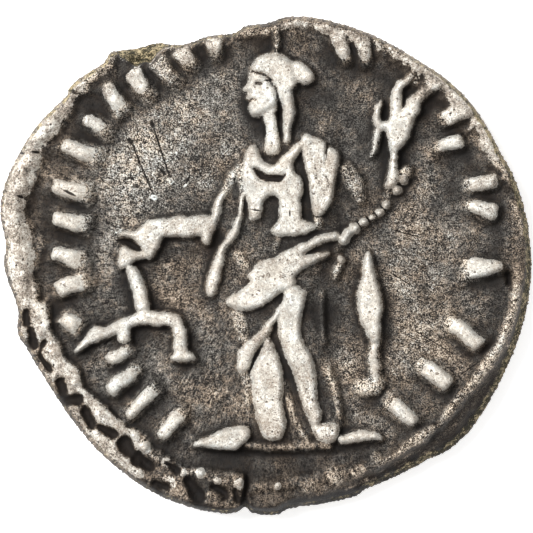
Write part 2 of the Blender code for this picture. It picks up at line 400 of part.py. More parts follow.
class Carving:
    """Heights of one struck face over a set of places, as shares of its relief."""

    def __init__(self, x, y, edge):
        self.x = x
        self.y = y
        self.edge = edge
        self.height = np.zeros_like(x)
        self.cut = np.zeros_like(x)

    def near(self, line, reach):
        """Indices of the places within reach of a line's box."""
        low = line[:, :2].min(axis=0) - reach
        high = line[:, :2].max(axis=0) + reach
        inside = (self.x > low[0]) & (self.x < high[0]) & (self.y > low[1]) & (self.y < high[1])
        return np.flatnonzero(inside)

    def depth_in_line(self, line, places):
        """How deep each place lies inside a line swept with its half width."""
        x = self.x[places]
        y = self.y[places]
        depth = np.full(x.shape, -np.inf)
        for a, b in zip(line[:-1], line[1:]):
            run = b[:2] - a[:2]
            share = ((x - a[0]) * run[0] + (y - a[1]) * run[1]) / max(run @ run, 1e-9)
            share = np.clip(share, 0, 1)
            away = np.hypot(x - a[0] - share * run[0], y - a[1] - share * run[1])
            depth = np.maximum(depth, a[2] + share * (b[2] - a[2]) - away)
        return depth

    def depth_in_outline(self, line, places):
        """How deep each place lies inside a closed outline, less than zero outside."""
        x = self.x[places]
        y = self.y[places]
        inner = np.zeros(x.shape, bool)
        away = np.full(x.shape, np.inf)
        for a, b in zip(line, np.roll(line, -1, axis=0)):
            run = b - a
            share = ((x - a[0]) * run[0] + (y - a[1]) * run[1]) / max(run @ run, 1e-9)
            share = np.clip(share, 0, 1)
            away = np.minimum(away, np.hypot(x - a[0] - share * run[0], y - a[1] - share * run[1]))
            if a[1] != b[1]:
                crossing = a[0] + (y - a[1]) * run[0] / run[1]
                inner ^= ((a[1] > y) != (b[1] > y)) & (x < crossing)
        return np.where(inner, away, -away)

    def lift(self, places, depth, flank, height):
        """Raise a form from its foot to its top."""
        self.height[places] = np.maximum(self.height[places], height * rounded((depth + FOOT) / flank))

    def ridge(self, points, widths, height, flank=FLANK):
        line = swept_line(points, widths)
        widest = line[:, 2].max()
        places = self.near(line, widest + FOOT)
        self.lift(places, self.depth_in_line(line, places), min(flank, widest + FOOT), height)

    def patch(self, points, flank, height):
        line = curve(points, closed=True)
        places = self.near(line, FOOT)
        self.lift(places, self.depth_in_outline(line, places), flank, height)

    def slit(self, points, widths, depth):
        line = swept_line(points, widths)
        widest = line[:, 2].max()
        places = self.near(line, widest)
        share = rounded(self.depth_in_line(line, places) / widest)
        self.cut[places] = np.maximum(self.cut[places], depth * share)

    def bead(self, x, y, radius, height):
        places = self.near(np.array([(x, y)]), radius + FOOT)
        away = np.hypot(self.x[places] - x, self.y[places] - y)
        self.lift(places, radius - away, radius + FOOT, height)

    def stroke(self, start, end, half_widths):
        """Short straight bar with square ends on a low soft skirt, which fades towards its second end."""
        start, end = np.array(start), np.array(end)
        run = end - start
        across = np.array((-run[1], run[0])) / np.hypot(*run)
        low, high = half_widths[0] * across, half_widths[-1] * across
        outline = np.array((start - low, end - high, end + high, start + low))
        places = self.near(outline, STROKE_SKIRT + FOOT)
        depth = self.depth_in_outline(outline, places)
        share = ((self.x[places] - start[0]) * run[0] + (self.y[places] - start[1]) * run[1]) / (run @ run)
        fade = STROKE_FADE * np.clip(2 * share - 1.1, 0, 1)
        self.lift(places, depth + STROKE_SKIRT, STROKE_SKIRT + FOOT, SKIRT_HEIGHT)
        self.lift(places, depth, FINE_FLANK, STROKE_HEIGHT - fade)

    def rim(self, table):
        """Band along the edge, from a table of bearings, widths and heights."""
        bearing = np.degrees(np.arctan2(self.y, self.x)) % 360
        bearings, widths, heights = zip(*table)
        depth = np.interp(bearing, bearings, widths) - self.edge
        self.lift(np.arange(len(self.x)), depth, RIM_FLANK, np.interp(bearing, bearings, heights))

    def ring(self, centre):
        """Plain border ring, and a pit between each two beads outside it."""
        radius = np.hypot(self.x - centre[0], self.y - centre[1])
        everywhere = np.arange(len(self.x))
        self.lift(everywhere, BORDER_HALF_WIDTH - np.abs(radius - BORDER_RADIUS), FLANK, BORDER_HEIGHT)
        for bearing in np.arange(0, 360, 360 / BEAD_COUNT):
            place = polar(centre, BORDER_RADIUS + PIT_OFFSET, bearing)
            self.slit((place, place), (PIT_RADIUS,), PIT_DEPTH)

    def result(self):
        """Height shares after wear has flattened the tops."""
        return np.minimum(self.height, WORN_LEVEL) / WORN_LEVEL - self.cut


def carve_head(face):
    """Small head of the standing figure, calm and plain, with rolled hair and a knot."""
    def sized(points, widths):
        places = [(HEAD_PLACE[0] + x * HEAD_HEIGHT, HEAD_PLACE[1] + y * HEAD_HEIGHT) for x, y in points]
        return places, [width * HEAD_HEIGHT for width in widths]

    outline, _ = sized(HEAD_OUTLINE, ())
    face.patch(outline, HEAD_FLANK, HEAD_LEVEL)
    for points, widths, height in HEAD_RIDGES:
        face.ridge(*sized(points, widths), height)
    for points, widths, depth in HEAD_SLITS:
        face.slit(*sized(points, widths), depth)


def carve_reverse(face):
    """Upper face: the figure, its scales and horn, the strokes, the border and the rim."""
    for patch in BODY_PATCHES + CLOTH_END_PATCHES + SCALES_PATCHES + HORN_PATCHES + BORDER_PATCHES:
        face.patch(*patch)
    for ridge in ARM_RIDGES + SKIRT_RIDGES + FOOT_RIDGES + CLOTH_END_RIDGES + HORN_RIDGES + REVERSE_BORDER:
        face.ridge(*ridge)
    for bead in HORN_BEADS:
        face.bead(*bead)
    carve_head(face)
    for stroke in REVERSE_STROKES:
        face.stroke(*stroke)
    face.rim(REVERSE_RIM)
    for slit in CLOTH_SLITS + REVERSE_PITS + DAMAGE_SLITS:
        face.slit(*slit)
    return face.result()


def carve_hair(face):
    """Wreath with paired leaves, and locks that leave it on both sides."""
    band = curve(WREATH, steps=12)
    last = len(band) - 2
    for index in range(LOCKS):
        spot = round(index / (LOCKS - 1) * last)
        along = band[spot + 1] - band[spot]
        along = along / np.hypot(*along)
        out = np.array((along[1], -along[0]))
        kinds = (UPPER_LOCK, LOWER_LOCK) if index >= FIRST_LOWER_LOCK else (UPPER_LOCK,)
        for offsets in kinds:
            lock = [band[spot] + rise * out - sweep * along for rise, sweep in offsets]
            face.ridge(lock, LOCK_WIDTHS, LOCK_HEIGHT, FINE_FLANK)
    for points in NAPE_LOCKS:
        face.ridge(points, LOCK_WIDTHS, LOCK_HEIGHT, FINE_FLANK)
    for index in range(WREATH_LEAVES):
        spot = round((index + 1) / WREATH_LEAVES * last)
        ahead = band[spot - 1] - band[spot]
        heading = math.degrees(math.atan2(ahead[1], ahead[0]))
        for side in (-LEAF_SPREAD, LEAF_SPREAD):
            tip = np.array(polar(band[spot], LEAF_LENGTH, heading + side))
            face.ridge((band[spot], (band[spot] + tip) / 2, tip), LEAF_WIDTHS, 1.0, FINE_FLANK)


def carve_obverse(face):
    """Lower face: laureate head, a plainer ring of strokes and the border."""
    for patch in (PORTRAIT,) + PORTRAIT_FORMS:
        face.patch(*patch)
    for ridge in BUST_RIDGES:
        face.ridge(*ridge)
    carve_hair(face)
    radius, half_length, half_width = OBVERSE_STROKE
    for index, bearing in enumerate(np.linspace(OBVERSE_GAP[1], 360 + OBVERSE_GAP[0], OBVERSE_STROKES)):
        if (index + 1) % STROKE_GROUP:
            ends = [polar(OBVERSE_CENTRE, radius + along, bearing) for along in (-half_length, half_length)]
            face.stroke(*ends, (half_width,))
    face.ring(OBVERSE_CENTRE)
    face.rim(OBVERSE_RIM)
    for slit in PORTRAIT_SLITS:
        face.slit(*slit)
    return face.result()


def outline_radius(bearings):
    """Radius of the blank at each bearing in radians, smooth between the places where it turns."""
    turns = np.array(OUTLINE)
    before = turns[-2:] - (360, 0)
    after = turns[:2] + (360, 0)
    line = curve(np.vstack((before, turns, after)), steps=8)
    return FLAN_RADIUS * np.interp(np.degrees(bearings) % 360, line[:, 0], line[:, 1])


def square_to_disc(u, v):
    """Even map of the square onto the unit disc, as polar radius and bearing."""
    wide = np.abs(u) > np.abs(v)
    radius = np.where(wide, u, v)
    low = np.where(wide, v, u)
    turn = math.pi / 4 * low / np.where(radius == 0, 1, radius)
    bearing = np.where(wide, turn, math.pi / 2 - turn)
    return np.abs(radius), np.where(radius < 0, bearing + math.pi, bearing)


def face_places(square):
    """Places of a face's grid, and each one's distance from the blank's edge."""
    radius, bearing = square_to_disc(square[:, 0], square[:, 1])
    reach = outline_radius(bearing) - EDGE_BULGE
    edge_share = radius ** 3
    length = radius * (reach * edge_share + FLAN_RADIUS * (1 - edge_share))
    return length * np.cos(bearing), length * np.sin(bearing), np.maximum(reach - length, 0)


def edge_fall(distance):
    """How far a face has rounded over at a distance from the edge."""
    share = np.clip(1 - distance / EDGE_ROUND, 0, 1)
    return EDGE_DROP * (1 - np.sqrt(1 - share ** 2))


def die_carving(x, y, mirrored=False):
    """Empty carving over places on the blank, in the die's own unit."""
    edge = outline_radius(np.arctan2(y, x)) - np.hypot(x, y)
    return Carving(x / DIE_UNIT, (-y if mirrored else y) / DIE_UNIT, edge / DIE_UNIT)


def break_fall(x, y):
    """How far the upper face drops where a piece of its edge has broken away."""
    face = Carving(x / FLAN_RADIUS, y / FLAN_RADIUS, None)
    line = curve(BREAK_LINE, closed=True, steps=3)
    depth = face.depth_in_outline(line, np.arange(len(x))) * FLAN_RADIUS
    return BREAK_DEPTH * np.clip(depth / BREAK_SLOPE, 0, 1)


def strike(verts, heights_at):
    """Move a grid's vertices out onto the blank and to the heights of their face."""
    x, y, distance = face_places(np.array([vert.co[:2] for vert in verts]))
    for vert, place in zip(verts, np.column_stack((x, y, heights_at(x, y, distance)))):
        vert.co = place


def upper_heights(x, y, distance):
    field = OBVERSE_RELIEF + FIELD_THICKNESS
    relief = REVERSE_RELIEF * carve_reverse(die_carving(x, y))
    return field + relief - edge_fall(distance) - break_fall(x, y)


def lower_heights(x, y, distance):
    relief = OBVERSE_RELIEF * carve_obverse(die_carving(x, y, mirrored=True))
    return OBVERSE_RELIEF - relief + edge_fall(distance)


def bulge_edge(form, lower):
    """Run a belt of vertices round the side and swell it outwards."""
    below = set(lower)
    walls = [edge for edge in form.edges if (edge.verts[0] in below) != (edge.verts[1] in below)]
    belt = bmesh.ops.subdivide_edges(form, edges=walls, cuts=1)
    for item in belt["geom_inner"]:
        if isinstance(item, bmesh.types.BMVert):
            swell = 1 + EDGE_BULGE / math.hypot(item.co.x, item.co.y)
            item.co.x *= swell
            item.co.y *= swell


def apply_modifiers(coin):
    bpy.context.view_layer.update()
    result = bpy.data.meshes.new_from_object(coin.evaluated_get(bpy.context.evaluated_depsgraph_get()))
    coin.modifiers.clear()
    coin.data = result
    result.name = "coin"


def build_coin(collection):
    """One closed solid: a fine grid given thickness, struck on both faces and thinned to even facets."""
    bpy.ops.mesh.primitive_grid_add(x_subdivisions=GRID_CELLS, y_subdivisions=GRID_CELLS, size=2)
    coin = bpy.context.active_object
    coin.name = "coin"
    for owner in coin.users_collection:
        owner.objects.unlink(coin)
    collection.objects.link(coin)
    blank = coin.modifiers.new("blank", "SOLIDIFY")
    blank.thickness = FIELD_THICKNESS
    apply_modifiers(coin)

    form = bmesh.new()
    form.from_mesh(coin.data)
    upper = [vert for vert in form.verts if vert.co.z > -FIELD_THICKNESS / 2]
    lower = [vert for vert in form.verts if vert.co.z < -FIELD_THICKNESS / 2]
    strike(upper, upper_heights)
    strike(lower, lower_heights)
    bulge_edge(form, lower)
    bmesh.ops.recalc_face_normals(form, faces=form.faces[:])
    form.to_mesh(coin.data)
    form.free()
    thin = coin.modifiers.new("even facets", "DECIMATE")
    thin.ratio = TRIANGLE_BUDGET / (2 * len(coin.data.polygons))
    thin.use_collapse_triangulate = True
    apply_modifiers(coin)
    return coin


def flatten_worn_tops(mesh):
    """Make both faces truly flat where they are worn, and put the origin below the middle."""
    places = np.array([vert.co[:] for vert in mesh.vertices])
    places[:, :2] -= (places[:, :2].min(axis=0) + places[:, :2].max(axis=0)) / 2
    top = OBVERSE_RELIEF + FIELD_THICKNESS + REVERSE_RELIEF
    places[places[:, 2] < FLAT_BAND, 2] = 0
    places[places[:, 2] > top - FLAT_BAND, 2] = top
    for vert, place in zip(mesh.vertices, places):
        vert.co = place


def old_silver():
    """Dull silver, darkened by age."""
    material = bpy.data.materials.new("old silver")
    material.use_nodes = True
    shader = material.node_tree.nodes["Principled BSDF"]
    shader.inputs["Base Color"].default_value = (0.42, 0.4, 0.37, 1)
    shader.inputs["Metallic"].default_value = 0.85
    shader.inputs["Roughness"].default_value = 0.45
    return material


def main():
    for item in list(bpy.data.objects):
        bpy.data.objects.remove(item, do_unlink=True)
    collection = bpy.data.collections.new("denarius")
    bpy.context.scene.collection.children.link(collection)
    coin = build_coin(collection)
    flatten_worn_tops(coin.data)
    coin.data.materials.append(old_silver())


main()
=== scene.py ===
"""Silver denarius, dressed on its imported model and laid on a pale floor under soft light."""
import math

import bpy
import numpy as np
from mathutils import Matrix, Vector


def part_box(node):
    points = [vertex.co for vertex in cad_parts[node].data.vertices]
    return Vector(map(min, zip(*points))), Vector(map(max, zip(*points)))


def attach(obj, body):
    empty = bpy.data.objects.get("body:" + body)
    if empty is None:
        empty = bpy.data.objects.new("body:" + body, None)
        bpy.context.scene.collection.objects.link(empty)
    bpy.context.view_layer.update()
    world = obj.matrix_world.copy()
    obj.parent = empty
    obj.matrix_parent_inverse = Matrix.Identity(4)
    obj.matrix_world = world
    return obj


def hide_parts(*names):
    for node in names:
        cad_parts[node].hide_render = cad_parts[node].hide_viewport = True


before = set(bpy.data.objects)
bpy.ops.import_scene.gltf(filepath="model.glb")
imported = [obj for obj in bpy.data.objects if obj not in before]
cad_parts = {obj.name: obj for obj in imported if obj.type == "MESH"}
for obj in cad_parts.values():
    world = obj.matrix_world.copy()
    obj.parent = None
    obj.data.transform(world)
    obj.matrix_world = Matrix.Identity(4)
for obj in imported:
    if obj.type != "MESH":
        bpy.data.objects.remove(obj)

bl_info = {
    "name": "Denarius",
    "version": (1, 0, 0),
    "blender": (4, 5, 0),
    "location": "3D View > Sidebar > Denarius",
    "description": "Strikes a worn silver denarius with dark toning and sets up a pale stage for it",
    "category": "Add Mesh",
}

MM = 0.001
CAD_LOW, CAD_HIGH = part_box("coin")

# Blank, in millimetres as everything that is struck or toned here
FLAN_RADIUS = 8.7
EDGE_BULGE = 0.12
EDGE_ROUND = 0.35
EDGE_DROP = 0.18

# Fine mesh: cells across the upper face and the lower one, and rows down the side
UPPER_CELLS = 268
LOWER_CELLS = UPPER_CELLS // 2
SIDE_ROWS = 6

# Steps down the side over which its own tones take over, how full its round is and how uneven
SIDE_BLEND_ROWS = 3
SIDE_ROUNDING = 0.6
SIDE_DENTS = 0.002

# Charts that the faces are struck and toned on
CHART_CELL = 0.03
CHART_REACH = (9.4, 8.9)
# Radius that the rings of a chart's streaks are spread over, and the least length of a line's step, squared
FLOW_REACH = 10
SHORTEST = 1e-9

# Struck relief of each face, and what the frame's thickness leaves between them
REVERSE_RELIEF = 0.5
OBVERSE_RELIEF = 0.5
FIELD_THICKNESS = (CAD_HIGH[2] - CAD_LOW[2]) / MM - REVERSE_RELIEF - OBVERSE_RELIEF

# Seeds of what is random on each face and on the side
UPPER_SEED = 11
LOWER_SEED = 23
SIDE_SEED = 5
# Random unevenness in layers, each with its strength and spread: the lines of the forms, and how many times
# more the edge wanders, grime with its painted shadow, toning, its warmth, swell of each face and the floor
# of the broken place
LINE_WANDER = ((0.022, 0.2), (0.012, 0.06))
EDGE_WANDER = 4
GRIME_AND_SHADOW_LAYERS = ((0.25, 0.3), (0.15, 0.1))
TONING_LAYERS = ((1, 0.4), (0.6, 0.15))
WARMTH_LAYERS = ((0.07, 0.7),)
UPPER_SWELL = ((0.012, 0.6), (0.008, 0.15))
LOWER_SWELL = ((0.012, 0.6), (0.006, 0.15))
BREAK_FLOOR = ((0.07, 0.06), (0.1, 0.18))
# Heights of the streaks that run outwards on each face, and strength, turns and rings of those at the edge
UPPER_STREAKS = 0.005
LOWER_STREAKS = 0.004
EDGE_STREAKS = ((1, 160, 260), (0.7, 500, 200))
# Small knocks in the worn slope at the edge
KNOCK_SPREAD = 0.12
KNOCK_HEIGHT = 0.05

# Where the hammered outline turns: bearing in degrees from +X, and radius as a share of FLAN_RADIUS
OUTLINE = (
    (0, 1.040), (10, 1.038), (20, 1.033), (26, 1.021), (38, 1.026), (47, 1.017), (55, 1.002),
    (66, 0.998), (83, 0.989), (90, 0.954), (95, 0.946), (98, 0.924), (104, 0.931), (111, 0.931),
    (116, 0.976), (121, 0.998), (126, 1.037), (129, 1.023), (137, 1.045), (140, 1.032), (148, 1.054),
    (155, 1.066), (162, 1.074), (168, 1.067), (175, 1.026), (180, 1.029), (187, 0.997), (191, 0.991),
    (195, 1.010), (200, 0.989), (211, 0.970), (225, 0.976), (240, 0.989), (250, 0.991), (259, 0.985),
    (263, 0.971), (265, 0.948), (267, 0.969), (272, 0.976), (277, 0.952), (291, 0.966), (295, 0.957),
    (309, 0.985), (314, 1.011), (321, 1.025), (334, 1.023), (347, 1.032),
)
OUTLINE_STEPS = 8

# A piece broken from the upper face at its edge: the line round it in shares of FLAN_RADIUS, its slope, how
# ragged it is, and how deep and how dark the lower layer lies
BREAK_LINE = (
    (-0.644, 0.874), (-0.598, 0.833), (-0.546, 0.799), (-0.494, 0.777),
    (-0.448, 0.791), (-0.414, 0.833), (-0.356, 0.862), (-0.310, 0.891), (-0.483, 1.057),
)
BREAK_SLOPE = 0.2
BREAK_RAGGED = 0.05
BREAK_DEPTH = 0.55
BREAK_TONE = 0.12

# Struck forms: how far a form's foot spreads beyond its line, how wide its flanks are, and where wear stops
FOOT = 0.12
FLANK = 0.2
FINE_FLANK = 0.18
BEAD_FOOT = 0.03
WORN_LEVEL = 0.94
# How far wear has softened the forms of each face, and the cuts
UPPER_SOFTNESS = 0.035
LOWER_SOFTNESS = 0.045
CUT_SOFTNESS = 0.03
# Width over which the polish's edge is drawn and how far it reaches out, and the heights at which it sets in
POLISH_EDGE = 0.24
POLISH_SPREAD = 0.035
POLISHED_HEIGHTS = (0.6, 0.8)
# Heights and depths at which a form's toning turns pale
PALED_HEIGHTS = (0.3, 0.95)
PALED_DEPTHS = (-0.035, 0.075)

# Rim that rises towards the edge: bearing about the middle, how far in from the edge it reaches, and height
REVERSE_RIM = (
    (0, 0.4, 0.4), (20, 0.4, 0.6), (30, 0.45, 0.8), (58, 0.45, 0.84), (75, 0.5, 0.8), (95, 0.35, 0.68),
    (112, 0.25, 0.6), (128, 0.3, 0.62), (138, 0.38, 0.76), (146, 0.62, 0.82), (160, 0.85, 0.84),
    (176, 0.9, 0.82), (188, 0.8, 0.76), (200, 0.3, 0.72), (225, 0.25, 0.7), (262, 0.3, 0.6), (268, 0.6, 0.3),
    (300, 0.3, 0.1), (345, 0.2, 0.1), (352, 0.3, 0.2), (360, 0.4, 0.4),
)
OBVERSE_RIM = ((0, 0.85, 1.08), (360, 0.85, 1.08))
RIM_SLOPE = 0.9
RIM_POLISH_EDGE = 0.5

# Broad border at the lower left, where ring and rim have run together: points round it, flanks and height
BORDER_PATCHES = (
    (((-7.6, -1.25), (-7.4, -1.7), (-7.35, -2.2), (-7.05, -2.65), (-6.9, -3.1), (-6.45, -3.5), (-6.25, -4.05),
      (-5.7, -4.6), (-5.15, -5.05), (-4.75, -5.5), (-4.3, -5.8), (-4.6, -8.0), (-6.4, -6.6), (-8.2, -4.3),
      (-9.2, -1.4)), 0.2, 0.72),
    (((-4.4, -5.75), (-3.85, -6.25), (-3.35, -6.5), (-2.9, -6.8), (-2.2, -6.88), (-1.6, -7.0), (-1.15, -7.05),
      (-0.8, -7.3), (-0.75, -8.7), (-3.8, -8.5), (-4.9, -7.8)), 0.2, 0.55),
)
# Worn ring of the border at the lower left and right and under the ground line: points, half widths, height
REVERSE_BORDER = (
    (((-7.95, -0.6), (-7.85, -1.4), (-7.6, -2.2), (-7.25, -2.85), (-6.85, -3.5), (-6.5, -4.1), (-6.05, -4.65),
      (-5.6, -5.0), (-5.1, -5.4), (-4.55, -5.8), (-4.15, -6.1), (-3.8, -6.5), (-3.4, -6.65), (-2.9, -6.95),
      (-2.3, -7.0), (-1.85, -7.2), (-1.35, -7.34), (-0.9, -7.22)), (0.1,), 0.66),
    (((8.55, -0.7), (8.4, -1.4), (8.2, -2.05), (7.9, -2.7), (7.55, -3.25), (7.2, -3.75), (6.8, -4.25),
      (6.45, -4.7), (6.05, -5.15), (5.65, -5.5), (5.25, -5.8), (4.85, -6.05), (4.45, -6.4), (3.9, -6.7)),
     (0.1, 0.14, 0.16, 0.12, 0.16, 0.14, 0.15, 0.12, 0.09, 0.1, 0.16, 0.12, 0.08, 0.06), 0.64),
    (((-0.4, -7.5), (0.8, -7.35), (2.2, -7.1), (3.2, -6.9), (3.9, -6.7)), (0.12, 0.16, 0.12), 0.4),
    (((0.3, 7.15), (0.34, 8.1)), (0.05,), 0.6),
)
# Worn beads of the border: place, radius and height
BORDER_BEADS = (
    (-7.85, -1.7, 0.2, 0.9), (-7.65, -2.25, 0.25, 0.94), (-7.25, -2.95, 0.24, 0.92),
    (-6.9, -3.45, 0.17, 0.84), (-6.55, -3.98, 0.24, 0.9), (-6.15, -4.45, 0.17, 0.88),
    (-5.65, -5.05, 0.2, 0.86), (-5.1, -5.55, 0.22, 0.9), (-4.55, -5.8, 0.15, 0.84), (-4.15, -6.2, 0.22, 0.92),
    (-3.4, -6.7, 0.17, 0.88), (-2.85, -7.0, 0.13, 0.86), (-2.25, -7.0, 0.17, 0.92), (-1.65, -7.3, 0.15, 0.9),
    (-0.95, -7.4, 0.17, 0.94), (0.4, -7.5, 0.12, 0.84), (-3.35, -7.35, 0.3, 0.7), (-1.95, -7.85, 0.26, 0.68),
    (-4.35, -7.05, 0.16, 0.74), (2.3, -7.15, 0.32, 0.6), (3.1, -6.95, 0.28, 0.58), (1.4, -7.45, 0.28, 0.5),
    (3.75, -6.55, 0.25, 0.56),
)
# Dark pits between the border's beads: the points along each, its half widths and its depth
REVERSE_PITS = (
    (((-8.2, -1.5), (-8.2, -1.95)), (0.14, 0.18), 0.6), (((-8.05, -2.15), (-7.9, -2.65)), (0.15, 0.22), 0.6),
    (((-7.55, -2.6), (-7.72, -3.0), (-7.35, -3.45)), (0.14, 0.1, 0.16), 0.55),
    (((-7.75, -3.4), (-7.6, -3.7)), (0.1,), 0.5), (((-7.05, -3.9), (-6.9, -4.25)), (0.22,), 0.6),
    (((-7.0, -4.55), (-6.4, -4.55)), (0.22, 0.26), 0.6), (((-6.15, -4.95), (-5.95, -5.4)), (0.26, 0.24), 0.6),
    (((-5.65, -5.45), (-5.25, -5.7)), (0.17, 0.26), 0.6),
    (((-4.85, -6.05), (-4.65, -6.35)), (0.33, 0.26), 0.65),
    (((-4.4, -6.55), (-4.0, -6.8)), (0.3, 0.24), 0.65), (((-3.4, -6.7), (-3.1, -6.9)), (0.12, 0.2), 0.55),
    (((-3.8, -7.4), (-3.4, -7.5)), (0.17,), 0.5), (((-2.65, -7.3), (-2.35, -7.8)), (0.26, 0.33), 0.6),
    (((-1.85, -7.5), (-1.4, -7.68)), (0.12, 0.18), 0.55), (((-1.5, -8.0), (-1.3, -7.85)), (0.07, 0.12), 0.45),
    (((-1.05, -7.6), (-0.95, -7.95)), (0.1, 0.16), 0.5),
    (((-5.25, -4.9), (-4.95, -5.2)), (0.12, 0.06), 0.4), (((-6.8, -5.3), (-6.6, -5.5)), (0.08,), 0.45),
    (((-5.6, -6.4), (-5.4, -6.6)), (0.1,), 0.45), (((-3.0, -8.1), (-2.7, -8.2)), (0.1,), 0.4),
    (((8.25, -0.3), (8.25, -0.6)), (0.13,), 0.5), (((5.72, -5.3), (5.8, -5.32)), (0.09,), 0.4),
)
OBVERSE_CENTRE = (0.0, 0.0)
BORDER_RADIUS = 8.1
BORDER_HALF_WIDTH = 0.14
BORDER_HEIGHT = 0.62
BEAD_COUNT = 62
PIT_RADIUS = 0.27
PIT_OFFSET = 0.4
PIT_DEPTH = 0.5

# Strokes: their height, how round their corners are, how far they fade and over which share of their length,
# and the low skirt that they stand on
STROKE_HEIGHT = 0.86
STROKE_CORNER = 0.09
STROKE_FADE = 0.3
FADE_RANGE = (0.55, 1.1)
STROKE_SKIRT = 0.12
SKIRT_HEIGHT = 0.36
# Strokes of the upper face: the crisp end of each and the end where it fades, its half width at both, and
# its height where wear has lowered it
REVERSE_STROKES = (
    ((7.8, 1.82), (6.75, 2.1), (0.24, 0.15)), ((7.85, 2.95), (6.7, 2.72), (0.2, 0.22)),
    ((6.62, 4.3), (5.72, 4.02), (0.2, 0.15)), ((6.95, 5.42), (5.85, 4.95), (0.2, 0.26)),
    ((3.2, 7.75), (3.4, 6.9), (0.2, 0.12)), ((2.4, 7.85), (2.75, 6.95), (0.22, 0.14)),
    ((-1.8, 7.8), (-1.72, 7.1), (0.28, 0.1), 0.8), ((-2.95, 7.4), (-2.5, 6.75), (0.3, 0.18), 0.76),
    ((-3.75, 7.0), (-3.1, 6.2), (0.3, 0.2), 0.68), ((-4.6, 6.6), (-3.95, 5.75), (0.3, 0.15), 0.74),
    ((-5.5, 6.2), (-4.85, 5.2), (0.15, 0.27), 0.84), ((-6.15, 5.0), (-5.35, 4.55), (0.16, 0.2), 0.76),
    ((-6.9, 4.15), (-5.7, 3.65), (0.2, 0.25)), ((-7.25, 2.78), (-6.0, 2.42), (0.22, 0.28)),
    ((-7.25, 1.68), (-6.05, 1.4), (0.2, 0.28)), ((-7.3, 0.48), (-6.15, 0.15), (0.17, 0.3)),
    ((-7.1, -0.78), (-6.1, -0.42), (0.22, 0.27)), ((-6.95, -1.75), (-6.35, -2.15), (0.18, 0.26)),
    ((-5.35, -3.2), (-4.6, -2.8), (0.17, 0.14)), ((-5.3, -4.2), (-4.35, -3.4), (0.2, 0.16)),
    ((-4.75, -5.1), (-3.7, -4.0), (0.12, 0.24)), ((-3.6, -5.8), (-2.8, -4.8), (0.15, 0.22)),
    ((5.05, -5.3), (4.15, -4.55), (0.17, 0.26)), ((6.2, -4.0), (5.2, -3.25), (0.24, 0.22)),
    ((7.25, -2.65), (6.1, -1.8), (0.24, 0.2)), ((8.0, 0.02), (6.65, -0.12), (0.15, 0.4)),
)

# Ridges: the points along each, its half widths from end to end, and its height
ARM_RIDGES = (
    # upper arm in shade, and the far sleeve's end
    (((-0.88, 3.4), (-1.2, 2.9), (-1.48, 2.4)), (0.12, 0.16, 0.13), 0.67),
    (((1.72, 1.75), (1.82, 1.4)), (0.15, 0.1), 0.6),
)
SKIRT_RIDGES = (
    # mantle over the shoulder, and small folds under the girdle
    (((-0.78, 3.5), (-0.84, 2.9), (-0.78, 2.4)), (0.06,), 0.7),
    (((0.38, 0.9), (0.3, 0.5)), (0.1,), 0.56),
    (((-0.9, 0.35), (-0.75, 0.0)), (0.2, 0.12), 0.56),
    # folds down the skirt
    (((-0.76, -3.5), (-0.68, -4.0), (-0.6, -4.7)), (0.17, 0.13, 0.06), 0.64),
    (((-1.0, -1.6), (-0.88, -2.1), (-0.78, -2.6)), (0.17, 0.2, 0.08), 0.64),
    (((0.6, -3.9), (0.8, -4.8), (0.95, -5.3)), (0.05, 0.1, 0.05), 0.56),
    (((0.9, -5.0), (1.4, -6.0)), (0.06,), 0.52),
    (((1.8, -0.9), (1.9, -1.7), (1.95, -2.6)), (0.06,), 0.5),
    (((2.08, -3.5), (2.35, -4.4), (2.5, -5.1)), (0.07, 0.1, 0.05), 0.6),
    # cloth beside the far sleeve
    (((2.75, 3.3), (3.0, 2.8), (3.2, 2.2)), (0.22, 0.25, 0.1), 0.52),
)
FOOT_RIDGES = (
    (((2.6, -5.9), (3.1, -5.76), (3.5, -5.75), (3.88, -5.86)), (0.09, 0.14, 0.12, 0.05), 0.8),
    # ground line
    (((-0.7, -6.1), (0.2, -6.12), (1.0, -6.12), (2.1, -6.13)), (0.08,), 0.5),
)
CLOTH_END_RIDGES = (
    (((3.65, -2.5), (3.68, -3.1), (3.72, -3.8)), (0.15, 0.14, 0.12), 0.72),
)
HORN_RIDGES = (
    # tip, and the stem that carries the beads
    (((2.42, 0.0), (2.32, -0.35)), (0.1, 0.07), 0.65),
    (((2.45, 0.6), (2.75, 1.05), (3.3, 1.5), (3.8, 1.87), (4.08, 2.12), (4.2, 2.7)), (0.07, 0.04), 0.4),
    # sprays that rise from its mouth and fall beside it
    (((4.95, 5.5), (5.3, 5.85), (5.6, 6.05), (5.95, 6.2)), (0.17, 0.12, 0.07), 0.8),
    (((4.42, 5.2), (4.4, 5.8), (4.48, 6.15), (4.75, 6.3), (5.0, 6.5)), (0.15, 0.14, 0.12, 0.08, 0.04), 0.86),
    (((4.2, 4.8), (3.95, 4.76), (3.77, 4.95), (3.74, 5.35), (3.9, 5.6)),
     (0.15, 0.13, 0.09, 0.07, 0.04), 0.84),
    (((3.88, 4.75), (3.73, 4.3), (3.55, 3.75)), (0.13, 0.1, 0.05), 0.72),
    (((4.5, 3.0), (4.75, 3.2), (4.86, 3.32)), (0.13, 0.15, 0.1), 0.68),
)
# Beads of the horn: place, radius and height
HORN_BEADS = (
    (2.52, 0.24, 0.13, 0.94), (2.66, 0.94, 0.18, 0.95), (2.76, 1.14, 0.17, 0.95), (2.99, 1.31, 0.19, 1.0),
    (3.3, 1.53, 0.15, 1.0), (3.58, 1.69, 0.09, 0.78), (3.83, 1.86, 0.15, 1.0), (4.08, 2.11, 0.14, 1.0),
    (4.47, 2.59, 0.17, 0.98), (4.69, 2.96, 0.17, 0.76),
)

